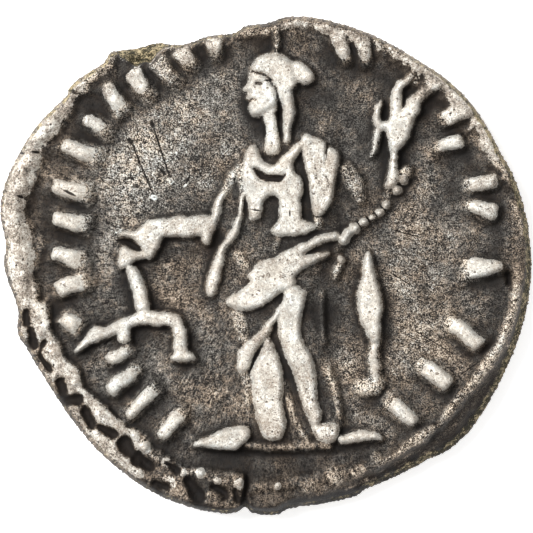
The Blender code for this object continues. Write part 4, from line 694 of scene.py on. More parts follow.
class Carving:
    """Heights of one struck face over a set of places, as shares of its relief."""

    def __init__(self, x, y, edge):
        self.x = x
        self.y = y
        self.edge = edge
        self.height, self.cut, self.polish, self.shade = (np.zeros_like(x) for grid in range(4))

    def near(self, line, reach):
        """Indices of the places within reach of a line's box."""
        low = line[:, :2].min(axis=0) - reach
        high = line[:, :2].max(axis=0) + reach
        inside = (self.x > low[0]) & (self.x < high[0]) & (self.y > low[1]) & (self.y < high[1])
        return np.flatnonzero(inside)

    def depth_in_line(self, line, places):
        """How deep each place lies inside a line swept with its half width."""
        x = self.x[places]
        y = self.y[places]
        depth = np.full(x.shape, -np.inf)
        for a, b in zip(line[:-1], line[1:]):
            share, away = nearest_on(a, b, x, y)
            depth = np.maximum(depth, a[2] + share * (b[2] - a[2]) - away)
        return depth

    def depth_in_outline(self, line, places):
        """How deep each place lies inside a closed outline, less than zero outside."""
        x = self.x[places]
        y = self.y[places]
        inner = np.zeros(x.shape, bool)
        away = np.full(x.shape, np.inf)
        for a, b in zip(line, np.roll(line, -1, axis=0)):
            away = np.minimum(away, nearest_on(a, b, x, y)[1])
            if a[1] != b[1]:
                crossing = a[0] + (y - a[1]) * (b[0] - a[0]) / (b[1] - a[1])
                inner ^= ((a[1] > y) != (b[1] > y)) & (x < crossing)
        return np.where(inner, away, -away)

    def lift(self, places, depth, flank, height):
        """Raise a form from its foot to its top, and paint it."""
        raise_to(self.height, places, height * rounded((depth + FOOT) / flank))
        self.paint(places, depth + POLISH_SPREAD, height, POLISH_EDGE)

    def paint(self, places, depth, height, polish_edge):
        """Polish a form where wear reaches it, and pale its toning lower down."""
        reached = np.clip(0.5 + depth / polish_edge, 0, 1)
        raise_to(self.polish, places, reached * smooth(height, *POLISHED_HEIGHTS))
        raise_to(self.shade, places, smooth(height, *PALED_HEIGHTS) * smooth(depth, *PALED_DEPTHS))

    def ridge(self, points, widths, height, flank=FLANK):
        line = swept_line(points, widths)
        widest = line[:, 2].max()
        places = self.near(line, widest + POLISH_EDGE)
        self.lift(places, self.depth_in_line(line, places), min(flank, widest + FOOT), height)

    def patch(self, points, flank, height):
        line = curve(points, closed=True)
        places = self.near(line, POLISH_EDGE)
        self.lift(places, self.depth_in_outline(line, places), flank, height)

    def slit(self, points, widths, depth):
        line = swept_line(points, widths)
        widest = line[:, 2].max()
        places = self.near(line, widest)
        raise_to(self.cut, places, depth * rounded(self.depth_in_line(line, places) / widest))

    def bead(self, x, y, radius, height):
        places = self.near(np.array([(x, y)]), radius + FOOT)
        depth = radius - np.hypot(self.x[places] - x, self.y[places] - y)
        raise_to(self.height, places, height * rounded((depth + BEAD_FOOT) / radius))
        self.paint(places, depth, height, POLISH_EDGE / 2)

    def stroke(self, start, end, half_widths, height=STROKE_HEIGHT):
        """Short straight bar with rounded corners on a low soft skirt, which fades towards its second end."""
        start, end = np.array(start), np.array(end)
        run = end - start
        along = run / np.hypot(*run)
        across = np.array((-along[1], along[0]))
        near_side = (half_widths[0] - STROKE_CORNER) * across
        far_side = (half_widths[-1] - STROKE_CORNER) * across
        first, last = start + STROKE_CORNER * along, end - STROKE_CORNER * along
        outline = np.array((first - near_side, last - far_side, last + far_side, first + near_side))
        places = self.near(outline, STROKE_SKIRT + STROKE_CORNER + FOOT)
        depth = self.depth_in_outline(outline, places) + STROKE_CORNER
        share = ((self.x[places] - start[0]) * run[0] + (self.y[places] - start[1]) * run[1]) / (run @ run)
        self.lift(places, depth + STROKE_SKIRT, STROKE_SKIRT + FOOT, SKIRT_HEIGHT)
        self.lift(places, depth, FINE_FLANK, height - STROKE_FADE * smooth(share, *FADE_RANGE))

    def rim(self, table):
        """Band along the edge, from a table of bearings, widths and heights."""
        bearing = bearing_of(self.x, self.y)
        depth = round_table(bearing, table) - self.edge
        height = round_table(bearing, table, 2)
        raise_to(self.height, slice(None), height * smooth(depth, -RIM_SLOPE / 2, RIM_SLOPE / 2))
        self.paint(slice(None), depth, height, RIM_POLISH_EDGE)

    def ring(self, centre):
        """Plain border ring, and a pit between each two beads outside it."""
        away = np.abs(np.hypot(self.x - centre[0], self.y - centre[1]) - BORDER_RADIUS)
        self.lift(slice(None), BORDER_HALF_WIDTH - away, FLANK, BORDER_HEIGHT)
        for bearing in np.arange(0, 360, 360 / BEAD_COUNT):
            place = polar(centre, BORDER_RADIUS + PIT_OFFSET, bearing)
            self.slit((place, place), (PIT_RADIUS,), PIT_DEPTH)


def carve_head(face):
    """Small head of the standing figure, calm and plain, with rolled hair and a knot."""
    def sized(points, widths):
        places = [(HEAD_PLACE[0] + x * HEAD_HEIGHT, HEAD_PLACE[1] + y * HEAD_HEIGHT) for x, y in points]
        return places, [width * HEAD_HEIGHT for width in widths]

    outline, _ = sized(HEAD_OUTLINE, ())
    face.patch(outline, HEAD_FLANK, HEAD_LEVEL)
    for points, widths, height in HEAD_RIDGES:
        face.ridge(*sized(points, widths), height)
    for points, widths, depth in HEAD_SLITS:
        face.slit(*sized(points, widths), depth)


def carve_reverse(face):
    """Upper face: the figure, its scales and horn, the strokes, the border and the rim."""
    for patch in BODY_PATCHES + CLOTH_END_PATCHES + SCALES_PATCHES + HORN_PATCHES + BORDER_PATCHES:
        face.patch(*patch)
    for ridge in ARM_RIDGES + SKIRT_RIDGES + FOOT_RIDGES + CLOTH_END_RIDGES + HORN_RIDGES + REVERSE_BORDER:
        face.ridge(*ridge)
    for bead in HORN_BEADS + BORDER_BEADS:
        face.bead(*bead)
    carve_head(face)
    for stroke in REVERSE_STROKES:
        face.stroke(*stroke)
    face.rim(REVERSE_RIM)
    for slit in CLOTH_SLITS + REVERSE_PITS + DAMAGE_SLITS:
        face.slit(*slit)


def carve_hair(face):
    """Wreath with paired leaves, and locks that leave it on both sides."""
    band = curve(WREATH, steps=WREATH_STEPS)
    last = len(band) - 2
    for index in range(LOCKS):
        spot = round(index / (LOCKS - 1) * last)
        along = band[spot + 1] - band[spot]
        along = along / np.hypot(*along)
        out = np.array((along[1], -along[0]))
        kinds = (UPPER_LOCK, LOWER_LOCK) if index >= FIRST_LOWER_LOCK else (UPPER_LOCK,)
        for offsets in kinds:
            lock = [band[spot] + rise * out - sweep * along for rise, sweep in offsets]
            face.ridge(lock, LOCK_WIDTHS, LOCK_HEIGHT, FINE_FLANK)
    for points in NAPE_LOCKS:
        face.ridge(points, LOCK_WIDTHS, LOCK_HEIGHT, FINE_FLANK)
    for index in range(WREATH_LEAVES):
        spot = round((index + 1) / WREATH_LEAVES * last)
        ahead = band[spot - 1] - band[spot]
        heading = math.degrees(math.atan2(ahead[1], ahead[0]))
        for side in (-LEAF_SPREAD, LEAF_SPREAD):
            tip = np.array(polar(band[spot], LEAF_LENGTH, heading + side))
            face.ridge((band[spot], (band[spot] + tip) / 2, tip), LEAF_WIDTHS, LEAF_HEIGHT, FINE_FLANK)


def carve_obverse(face):
    """Lower face: laureate head, a plainer ring of strokes and the border."""
    for patch in (PORTRAIT,) + PORTRAIT_FORMS:
        face.patch(*patch)
    for ridge in BUST_RIDGES:
        face.ridge(*ridge)
    carve_hair(face)
    radius, half_length, half_width = OBVERSE_STROKE
    for index, bearing in enumerate(np.linspace(OBVERSE_GAP[1], 360 + OBVERSE_GAP[0], OBVERSE_STROKES)):
        if (index + 1) % STROKE_GROUP:
            ends = [polar(OBVERSE_CENTRE, radius + along, bearing) for along in (-half_length, half_length)]
            face.stroke(*ends, (half_width,))
    face.ring(OBVERSE_CENTRE)
    face.rim(OBVERSE_RIM)
    for slit in PORTRAIT_SLITS:
        face.slit(*slit)


class Chart:
    """Fine square grid over one face, on which heights and toning are worked out."""

    def __init__(self, seed):
        self.random = np.random.default_rng(seed)
        across, up = (np.arange(-reach, reach, CHART_CELL) for reach in CHART_REACH)
        self.x, self.y = np.meshgrid(across, up)
        self.bearing = bearing_of(self.x, self.y)
        self.radius = np.hypot(self.x, self.y)
        self.edge = outline_radius(np.radians(self.bearing)) - self.radius
        turns = (np.fft.fftfreq(len(up))[:, None], np.fft.rfftfreq(len(across))[None, :])
        self.waves = (2 * math.pi / CHART_CELL) ** 2 * (turns[0] ** 2 + turns[1] ** 2)

    def blur(self, values, spread):
        soft = np.fft.rfft2(values) * np.exp(-0.5 * spread ** 2 * self.waves)
        return np.fft.irfft2(soft, s=values.shape)

    def leaned(self, values, right, down):
        """Values moved by a distance to the right and down."""
        return np.roll(values, (-round(down / CHART_CELL), round(right / CHART_CELL)), axis=(0, 1))

    def noise(self, spread):
        """Even random swell with bumps about as wide as twice the spread, from about -2 to 2."""
        swell = self.blur(self.random.standard_normal(self.x.shape), spread)
        return swell / swell.std()

    def layers(self, table):
        """Random unevenness, from the strength and the spread of each of its layers."""
        return sum(strength * self.noise(spread) for strength, spread in table)

    def flow(self, turns=900, rings=46):
        """Streaks that run outwards from the middle, or round it where the rings are many."""
        streaks = self.random.standard_normal((turns, rings))
        streaks = np.vstack((streaks, streaks[:1]))
        ring = np.minimum(self.radius / FLOW_REACH * rings, rings - 1)
        return blended(streaks, self.bearing / 360 * turns, ring)

    def spots(self, table):
        """Soft round spots added together, from the place, reach and amount of each."""
        total = np.zeros_like(self.x)
        for x, y, reach, amount in table:
            total += amount * np.exp(-((self.x - x) ** 2 + (self.y - y) ** 2) / reach ** 2)
        return total

    def sample(self, values, x, y):
        """Values at places between the chart's own."""
        return blended(values, (y - self.y[0, 0]) / CHART_CELL, (x - self.x[0, 0]) / CHART_CELL)


def outline_radius(bearings):
    """Radius of the blank at each bearing in radians, smooth between the places where it turns."""
    turns = np.array(OUTLINE)
    before = turns[-2:] - (360, 0)
    after = turns[:2] + (360, 0)
    line = curve(np.vstack((before, turns, after)), steps=OUTLINE_STEPS)
    return FLAN_RADIUS * np.interp(np.degrees(bearings) % 360, line[:, 0], line[:, 1])


def struck(chart, carve, mirrored):
    """Carve a face on its chart with slightly wandering lines, and return the carving as grids."""
    wander = [chart.layers(LINE_WANDER) for axis in range(3)]
    y = -chart.y if mirrored else chart.y
    places = (chart.x + wander[0], y + wander[1], chart.edge + EDGE_WANDER * wander[2])
    face = Carving(*[grid.ravel() for grid in places])
    carve(face)
    return [grid.reshape(chart.x.shape) for grid in (face.height, face.cut, face.polish, face.shade)]


def toned(chart, level, cut, shade, spots):
    """Grime in the hollows with painted shadow to the lower right of the forms, and how light and how warm
    the toning is.
    """
    near = chart.blur(level, NEAR_GRIME) - level
    # the wide grime is shifted to the lower right of the forms, so it is partly a painted shadow of them
    wide = chart.leaned(chart.blur(level, WIDE_GRIME_AND_SHADOW), *SHADOW_LEAN) - level
    gathered_grime_and_shadow = 0.65 * smooth(wide, *WIDE_HOLLOWS) + 0.5 * smooth(near, *NEAR_HOLLOWS)
    # cuts are darkened as well; under the ground line that darkening is a painted shadow band
    grime = gathered_grime_and_shadow * (1 + chart.layers(GRIME_AND_SHADOW_LAYERS)) + smooth(cut, *CUT_HOLLOWS)
    patches = chart.layers(TONING_LAYERS)
    # the spots add patches of toning, and painted shade beside the far leg and under the head
    lightness = FIELD_LIGHTNESS + 0.045 * patches + PALED_LIGHTNESS * shade + chart.spots(spots)
    warmth = FIELD_WARMTH + 0.1 * patches + chart.layers(WARMTH_LAYERS)
    warmth += 0.8 * shade * (1 - shade) + 0.5 * (lightness - 0.2)
    warmth += RIM_WARMTH * (1 - smooth(chart.edge, 0.5, 1.2))
    return {"grime": np.clip(grime, 0, 1), "lightness": lightness, "warmth": warmth}


def tone_inside_rim(chart, maps):
    """Brown band and dark valley along the inner side of the rim."""
    rim_width = round_table(chart.bearing, REVERSE_RIM)
    beside = chart.edge - rim_width
    band, valley = (amount * np.exp(-((beside - away) / width) ** 2)
                    for away, width, amount in (RIM_BAND, RIM_VALLEY))
    band *= smooth(rim_width, 0.3, 0.8)
    maps["lightness"] += band - valley
    maps["warmth"] += 3 * band


def worn_edge(chart):
    """How far each place has sunk at the edge, the streaks there, the crusted line and the dark seam."""
    slope = round_table(chart.bearing, SLOPE_WIDTHS)
    fall = 1 - smooth(chart.edge, 0.1 * slope, slope)
    streaks = sum(strength * chart.flow(turns, rings) for strength, turns, rings in EDGE_STREAKS)
    inwards = chart.edge - EDGE_BULGE
    crust = 1 - smooth(inwards / round_table(chart.bearing, CRUST_WIDTHS) + 0.25 * streaks, 0.5, 1.0)
    seam = np.exp(-(inwards / round_table(chart.bearing, SEAM_WIDTHS) + 0.15 * streaks) ** 2)
    return fall, streaks, crust, seam * round_table(chart.bearing, SEAM_DEPTHS)


def break_depth(chart):
    """How far into the broken place each part of the chart lies, from 0 to 1."""
    ragged = BREAK_RAGGED * chart.noise(0.12)
    face = Carving(*[(grid + ragged).ravel() / FLAN_RADIUS for grid in (chart.x, chart.y, chart.edge)])
    line = curve(BREAK_LINE, closed=True, steps=3)
    places = face.near(line, 0)
    lost = np.zeros(chart.x.size)
    lost[places] = smooth(face.depth_in_outline(line, places) * FLAN_RADIUS, 0, BREAK_SLOPE)
    return lost.reshape(chart.x.shape)


def strike_upper():
    """Chart of the upper face, with its heights and tones."""
    chart = Chart(UPPER_SEED)
    height, cut, polish, shade = struck(chart, carve_reverse, False)
    level = chart.blur(np.minimum(height, WORN_LEVEL) / WORN_LEVEL, UPPER_SOFTNESS)
    maps = toned(chart, level, cut, shade, UPPER_SPOTS)
    tone_inside_rim(chart, maps)
    fall, streaks, crust, seam = worn_edge(chart)
    lost = break_depth(chart)
    rough = lost * chart.layers(BREAK_FLOOR)
    knocks = chart.noise(KNOCK_SPREAD)
    rough += KNOCK_HEIGHT * fall * knocks
    swell = chart.layers(UPPER_SWELL) + UPPER_STREAKS * chart.flow()
    maps["height"] = (REVERSE_RELIEF * (level - chart.blur(cut, CUT_SOFTNESS)) + swell * (1 - 0.6 * polish)
                      - SLOPE_FALL * fall - BREAK_DEPTH * lost + rough)

    slope_crust = SLOPE_CRUST * fall * (1 - smooth(chart.edge, 0.1, 0.6))
    maps["crust"] = np.maximum(np.maximum(crust, lost), slope_crust) * (1 - 0.7 * seam)
    maps["grime"] = np.maximum(maps["grime"] * (1 - fall), 0.3 * fall)
    glints = SLOPE_GLINTS * smooth(streaks + knocks, *GLINT_RANGE)
    worn_slope = SLOPE_LIGHTNESS + SLOPE_STREAKS * (streaks + knocks) + glints
    maps["lightness"] = maps["lightness"] * (1 - fall) + worn_slope * fall
    maps["lightness"] -= BREAK_TONE * lost + SEAM_TONE * seam
    maps["warmth"] += chart.spots(WARM_SPOTS) + 0.8 * fall

    broken_edge = smooth(lost, 0.02, 0.12) * (1 - smooth(lost, 0.3, 0.5))
    polish *= (1 - fall) * (1 - lost) * (1 - 0.8 * seam) * (1 - smooth(cut, 0.08, 0.25))
    maps["polish"] = np.maximum(polish, 0.6 * broken_edge)
    # the spots lower the wear tone, partly as painted shade on some forms
    maps["worn"] = UPPER_WEAR - 0.42 * (1 - smooth(chart.edge, 0.5, 1.5)) + chart.spots(LESS_WORN_AND_SHADED_SPOTS)
    return chart, maps


def strike_lower():
    """Chart of the lower face, with its heights and tones."""
    chart = Chart(LOWER_SEED)
    height, cut, polish, shade = struck(chart, carve_obverse, True)
    level = chart.blur(np.minimum(height, WORN_LEVEL) / WORN_LEVEL, LOWER_SOFTNESS)
    maps = toned(chart, level, cut, shade, LOWER_SPOTS)
    swell = chart.layers(LOWER_SWELL) + LOWER_STREAKS * chart.flow()
    maps["height"] = OBVERSE_RELIEF * (level - chart.blur(cut, CUT_SOFTNESS)) + np.minimum(swell, 0)
    maps["crust"] = 1 - smooth(chart.edge, 0.05, 0.25)
    hollow = 1 - smooth(level - chart.blur(level, GROOVE_REACH), -0.08, 0.02)
    maps["polish"] = polish * (1 - 0.9 * hollow) * (1 - smooth(cut, 0.05, 0.2))
    maps["grime"] = np.maximum(maps["grime"], 0.4 * hollow)
    maps["worn"] = np.full_like(level, LOWER_WEAR)
    return chart, maps


def square_to_disc(u, v):
    """Even map of the square onto the unit disc, as polar radius and bearing."""
    wide = np.abs(u) > np.abs(v)
    radius = np.where(wide, u, v)
    low = np.where(wide, v, u)
    turn = math.pi / 4 * low / np.where(radius == 0, 1, radius)
    bearing = np.where(wide, turn, math.pi / 2 - turn)
    return np.abs(radius), np.where(radius < 0, bearing + math.pi, bearing)


def face_grid(cells):
    """Places of a face's grid, the distance of each from the edge, and the grid's own indices."""
    steps = np.linspace(-1, 1, cells + 1)
    u, v = np.meshgrid(steps, steps)
    radius, bearing = square_to_disc(u.ravel(), v.ravel())
    reach = outline_radius(bearing) - EDGE_BULGE
    edge_share = radius ** 3
    length = radius * (reach * edge_share + FLAN_RADIUS * (1 - edge_share))
    indices = np.arange((cells + 1) ** 2).reshape(cells + 1, cells + 1)
    return length * np.cos(bearing), length * np.sin(bearing), np.maximum(reach - length, 0), indices


def edge_loop(indices):
    """Border of a grid, once round anticlockwise from its lowest corner."""
    return np.concatenate((indices[0, :-1], indices[:-1, -1], indices[-1, :0:-1], indices[:0:-1, 0]))


def edge_fall(distance):
    """How far a face has rounded over at a distance from the edge."""
    share = np.clip(1 - distance / EDGE_ROUND, 0, 1)
    return EDGE_DROP * (1 - np.sqrt(1 - share ** 2))


def grid_quads(indices):
    corners = (indices[:-1, :-1], indices[:-1, 1:], indices[1:, 1:], indices[1:, :-1])
    return np.stack([corner.ravel() for corner in corners], axis=1)


def ring_quads(upper, lower):
    """Faces between two loops of the same length, facing out."""
    return np.stack((lower, np.roll(lower, -1), np.roll(upper, -1), upper), axis=1)


def halving_faces(upper, lower):
    """Triangles between a loop and one of half its length below it."""
    first, middle, last = upper[0::2], upper[1::2], np.roll(upper[0::2], -1)
    ahead = np.roll(lower, -1)
    trios = ((first, lower, middle), (lower, ahead, middle), (middle, ahead, last))
    return [np.stack(trio, axis=1) for trio in trios]


class Shell:
    """Places, tones and faces of the whole coin, gathered block by block from the top."""

    def __init__(self):
        self.places = []
        self.tones = {name: [] for name in TONES}
        self.faces = []
        self.count = 0

    def add(self, x, y, z, tones):
        """Add a block of places with their tones, and return their numbers in the mesh."""
        self.places.append(np.column_stack((x, y, z)))
        for name in TONES:
            self.tones[name].append(tones[name])
        self.count += len(x)
        return np.arange(self.count - len(x), self.count)

    def add_side(self, loop, foot):
        """Add the rounded side's rows below the upper face's border, and return the last row's numbers."""
        crown_x, crown_y, crown_z = self.places[0][loop].T
        crown = {name: self.tones[name][0][loop] for name in TONES}
        side = dict(SIDE_TONES, lightness=round_table(bearing_of(crown_x, crown_y), SIDE_LIGHTNESS))
        random = np.random.default_rng(SIDE_SEED)
        above = loop
        for row in range(1, SIDE_ROWS + 1):
            share = row / (SIDE_ROWS + 1)
            bulge = EDGE_BULGE * math.sin(math.pi * share) ** SIDE_ROUNDING
            swell = 1 + bulge / np.hypot(crown_x, crown_y)
            swell *= 1 + SIDE_DENTS * random.standard_normal(len(loop))
            lower = min(row / SIDE_BLEND_ROWS, 1)
            tones = {name: crown[name] * (1 - lower) + side[name] * lower for name in TONES}
            level = crown_z * (1 - share) + foot * share
            below = self.add(crown_x * swell, crown_y * swell, level, tones)
            self.faces.append(ring_quads(above, below))
            above = below
        return above

    def mesh(self):
        """The coin as a mesh about its box's middle, and where that middle was."""
        places = np.vstack(self.places)
        middle = (places[:, :2].min(axis=0) + places[:, :2].max(axis=0)) / 2
        places[:, :2] -= middle
        faces = [face for block in self.faces for face in block.tolist()]
        mesh = bpy.data.meshes.new("struck coin")
        mesh.from_pydata((places * MM).tolist(), [], faces)
        for name in TONES:
            layer = mesh.attributes.new(name, "FLOAT", "POINT")
            values = np.clip(np.concatenate(self.tones[name]), 0, 1)
            layer.data.foreach_set("value", values.astype(np.float32))
        mesh.shade_smooth()
        mesh.validate()
        return mesh, [float(value) for value in middle]


def coin_mesh():
    """Both faces as fine grids, joined by a rounded side whose last row halves its count."""
    shell = Shell()
    chart, maps = strike_upper()
    x, y, distance, indices = face_grid(UPPER_CELLS)
    tones = {name: chart.sample(values, x, y) for name, values in maps.items()}
    shell.add(x, y, OBVERSE_RELIEF + FIELD_THICKNESS + tones["height"] - edge_fall(distance), tones)
    shell.faces.append(grid_quads(indices))

    chart, maps = strike_lower()
    x, y, distance, low_indices = face_grid(LOWER_CELLS)
    tones = {name: chart.sample(values, x, y) for name, values in maps.items()}
    z = OBVERSE_RELIEF - tones["height"] + edge_fall(distance)
    loop = edge_loop(indices)
    foot = np.append(z[edge_loop(low_indices)], z[low_indices[0, 0]])
    foot = np.interp(np.arange(len(loop)), np.arange(0, len(loop) + 2, 2), foot)
    last_row = shell.add_side(loop, foot)

    low_indices = shell.add(x, y, z, tones)[low_indices]
    shell.faces.append(grid_quads(low_indices)[:, ::-1])
    shell.faces += halving_faces(last_row, edge_loop(low_indices))
    return shell.mesh()


class Term:
    """A socket that can stand in a sum; each sign adds the Math node that it names."""

    def __init__(self, finish, socket):
        self.finish = finish
        self.socket = socket

    def math(self, operation, a, b=None):
        inputs = {0: a} if b is None else {0: a, 1: b}
        return self.finish.term("ShaderNodeMath", {"operation": operation}, inputs)

    def __add__(self, other):
        return self.math("ADD", self, other)

    __radd__ = __add__

    def __sub__(self, other):
        return self.math("SUBTRACT", self, other)

    def __rsub__(self, other):
        return self.math("SUBTRACT", other, self)

    def __mul__(self, other):
        return self.math("MULTIPLY", self, other)

    __rmul__ = __mul__

    def __truediv__(self, other):
        return self.math("DIVIDE", self, other)

    def __pow__(self, other):
        return self.math("POWER", self, other)

    def most(self, other):
        return self.math("MAXIMUM", self, other)

    def least(self, other):
        return self.math("MINIMUM", self, other)

    def size(self):
        """The same value without its sign."""
        return self.math("ABSOLUTE", self)

    def clear(self):
        """The same value, held between 0 and 1."""
        return self.most(0.0).least(1.0)

    def between(self, low, high):
        """Smooth step from 0 at low to 1 at high."""
        inputs = {"Value": self, "From Min": low, "From Max": high}
        return self.finish.term("ShaderNodeMapRange", {"interpolation_type": "SMOOTHSTEP"}, inputs)


class Finish:
    """One material's node tree, built in code."""

    def __init__(self, name):
        self.material = bpy.data.materials.new(name)
        self.material.use_nodes = True
        self.tree = self.material.node_tree
        self.shader = self.tree.nodes["Principled BSDF"]

    def node(self, kind, settings, inputs):
        """Add a node: its settings first, then the values or links of its sockets."""
        node = self.tree.nodes.new(kind)
        for name, value in settings.items():
            if name == "stops":
                self.set_stops(node.color_ramp, value)
            else:
                setattr(node, name, value)
        for name, value in inputs.items():
            self.feed(node.inputs[name], value)
        return node

    def set_stops(self, ramp, stops):
        """Give a colour ramp its stops, each a position and a colour."""
        while len(ramp.elements) < len(stops):
            ramp.elements.new(1.0)
        for element, (position, colour) in zip(ramp.elements, stops):
            element.position = position
            element.color = (*colour[:3], 1.0)

    def feed(self, socket, value):
        value = getattr(value, "socket", value)
        if isinstance(value, bpy.types.NodeSocket):
            self.tree.links.new(value, socket)
        else:
            socket.default_value = value

    def term(self, kind, settings, inputs, output=0):
        return Term(self, self.node(kind, settings, inputs).outputs[output])

    def vector(self, operation, inputs):
        return self.node("ShaderNodeVectorMath", {"operation": operation}, inputs).outputs[0]

    def mix(self, share, low, high, blend="MIX"):
        node = self.node("ShaderNodeMix", {"data_type": "RGBA", "blend_type": blend}, {0: share})
        self.feed(node.inputs[6], low)
        self.feed(node.inputs[7], high)
        return node.outputs[2]

    def grain(self, places, scale, detail=2.0, roughness=0.5, distortion=0.0):
        """Noise about zero."""
        inputs = {"Vector": places, "Scale": scale, "Detail": detail, "Roughness": roughness,
                  "Distortion": distortion}
        return self.term("ShaderNodeTexNoise", {}, inputs) - 0.5

    def moved(self, places, distance):
        """Places moved along all three axes, so that the same texture starts elsewhere."""
        return self.vector("ADD", {0: places, 1: (distance,) * 3})

    def pits(self, places, scale, rim, floor):
        """Mask of small round pits, from the distances of their rim and their floor from their middle."""
        return self.term("ShaderNodeTexVoronoi", {}, {"Vector": places, "Scale": scale}).between(rim, floor)

    def line_mask(self, place, lines):
        """Mask of thin lines that taper to their ends, from the ends and half width of each."""
        nearest = FAR_OFF
        for start, end, half_width in lines:
            run = np.subtract(end, start)
            spot = self.node("ShaderNodeMapping", {"vector_type": "TEXTURE"}, {
                "Vector": place, "Location": (*np.add(start, end) / 2, 0),
                "Rotation": (0, 0, math.atan2(run[1], run[0])),
                "Scale": (np.hypot(*run) / 2 + half_width, half_width, 1)}).outputs[0]
            away = self.term("ShaderNodeVectorMath", {"operation": "LENGTH"}, {0: spot}, 1)
            nearest = away.least(nearest)
        return nearest.between(*SCRATCH_EDGE)

    def painted(self, name):
        return self.term("ShaderNodeAttribute", {"attribute_type": "GEOMETRY", "attribute_name": name}, {}, 2)


def metal_grain(finish, place, x, y):
    """Textures of the metal about zero: coarse, mottled, fine, dusty, in hue and streaked from the middle."""
    radius = (x * x + y * y) ** 0.5 + FLOW_MIDDLE
    inputs = {0: x / radius * FLOW_TURNS, 1: y / radius * FLOW_TURNS, 2: radius * FLOW_RINGS}
    outwards = finish.node("ShaderNodeCombineXYZ", {}, inputs).outputs[0]
    plain = [finish.grain(place, *kind) for kind in (COARSE, MOTTLE, FINE, DUST)]
    return (*plain, finish.grain(finish.moved(place, HUE_SHIFT), *HUE), finish.grain(outwards, *FLOW))


def metal_flaws(finish, place, patches):
    """Masks of curled pale lines, of fine cracks and of pits, some of which keep to patches."""
    curls = finish.grain(place, *CURLS).size().between(*CURL_EDGE)
    cracks = finish.grain(finish.moved(place, CRACK_SHIFT), *CRACKS).size().between(*CRACK_EDGE)
    pits = finish.pits(place, *WIDE_PITS) * patches.between(*PITTED_PATCHES)
    pits = pits + finish.pits(finish.moved(place, PIT_SHIFT), *SMALL_PITS) * SMALL_PIT_SHARE
    return curls, cracks, pits


def toned_silver(settings, middle):
    """Old silver: polished where wear reached it, dark in the field, grimy with painted shadow in the
    hollows, crusted at the edge.
    """
    finish = Finish("toned silver")
    shader = finish.shader
    object_place = finish.node("ShaderNodeTexCoord", {}, {}).outputs["Object"]
    place = finish.vector("SCALE", {0: object_place, "Scale": 1 / MM})
    parts = finish.node("ShaderNodeSeparateXYZ", {}, {0: place})
    x, y, z = (Term(finish, output) for output in parts.outputs)
    polish, worn, grime, lightness, crust, warmth = (finish.painted(name) for name in TONES)
    coarse, mottle, fine, dust, hue, flow = metal_grain(finish, place, x, y)
    curls, cracks, pits = metal_flaws(finish, place, coarse + mottle)
    flat = finish.vector("MULTIPLY_ADD", {0: place, 1: (1, 1, 0), 2: (*middle, 0)})
    marks = (finish.line_mask(flat, BURRS) - finish.line_mask(flat, THIN_DARK_LINES)) * z.between(*UPPER_LEVELS)

    # the field's toning, darker under its grime and painted shadow
    streaked = (x + y).between(-1.0, -4.0)
    texture = coarse * 1.2 + mottle * 2.0 + fine * 2.6 + dust * (6.8 - streaked * 2.0)
    texture = texture + flow * (1.8 + streaked * 1.8) + (curls - 0.2) * 0.3
    texture = texture.least(texture * 0.6 + 0.03) * 1.15
    toning = lightness * (1 - grime * 0.97)
    field = toning + texture * toning ** 1.5 * (1.15 - toning) * 2.9 - pits * toning * 0.8

    # the silver that wear has laid bare, duller where the wear tone holds painted shade
    bare = (polish + fine * 0.4 + dust * 0.4).between(*BARE_EDGE)
    rough = 1.15 - worn
    silver = 0.55 + worn * 0.34 + (coarse * 1.1 + mottle * 1.5 + fine * 1.0 + dust * 1.8) * rough
    silver = silver - cracks * 0.5 * mottle.between(-0.08, 0.06) - pits * rough * 0.8
    tone = (field + (silver - field) * bare + marks * 0.7).clear()

    # colour of both, and the crust over them
    colours = (settings.black, settings.dark, settings.grey, settings.brown, settings.beige, settings.dull,
               settings.bright)
    stops = list(zip(TONE_STOPS, colours))
    colour = finish.node("ShaderNodeValToRGB", {"stops": stops}, {"Fac": tone}).outputs[0]
    tint = finish.mix((warmth + hue * 4.6 + fine * 1.6).clear(), settings.cool, settings.warm)
    colour = finish.mix(1 - bare * 0.6, colour, tint, "MULTIPLY")
    crusted = (crust + mottle * 0.7).between(*CRUST_EDGE)
    olive = (lightness - 0.1 + mottle * 4.0 + fine * 6.0 + dust * 5.0).clear()
    olive = finish.mix(olive, settings.crust_dark, settings.crust_light)
    colour = finish.mix(crusted, colour, olive)

    bright = tone.between(0.6, 0.95)
    # the grime mask, which also holds painted shadow, makes the toning rougher and less metallic
    dirt_and_shadow = grime.between(0.3, 1.0)
    metallic = 0.25 + bright * 0.25 - dirt_and_shadow * 0.15 - crusted * 0.4
    roughness = 0.6 - bright * 0.1 + dirt_and_shadow * 0.15 + crusted * 0.25 + dust * 0.3
    relief = (fine * 1.5 + dust * 1.2 + flow * 1.0) * (1 - polish * 0.5) - pits * 0.7 - cracks * 0.2
    relief = relief + marks * 0.8
    inputs = {"Strength": BUMP_STRENGTH, "Distance": BUMP_DEPTH * MM, "Height": relief}
    bump = finish.node("ShaderNodeBump", {}, inputs)
    shader.inputs["Specular IOR Level"].default_value = SPECULAR_LEVEL
    finish.feed(shader.inputs["Base Color"], colour)
    finish.feed(shader.inputs["Metallic"], metallic.clear())
    finish.feed(shader.inputs["Roughness"], roughness.clear())
    finish.feed(shader.inputs["Normal"], bump.outputs[0])
    return finish.material


def swatch(name, description, red, green, blue):
    """Property for a colour that can be changed in the sidebar."""
    return bpy.props.FloatVectorProperty(
        name=name, description=description, subtype="COLOR", size=4, default=(red, green, blue, 1))


def number(name, description, default, unit="NONE"):
    return bpy.props.FloatProperty(name=name, description=description, default=default, unit=unit)


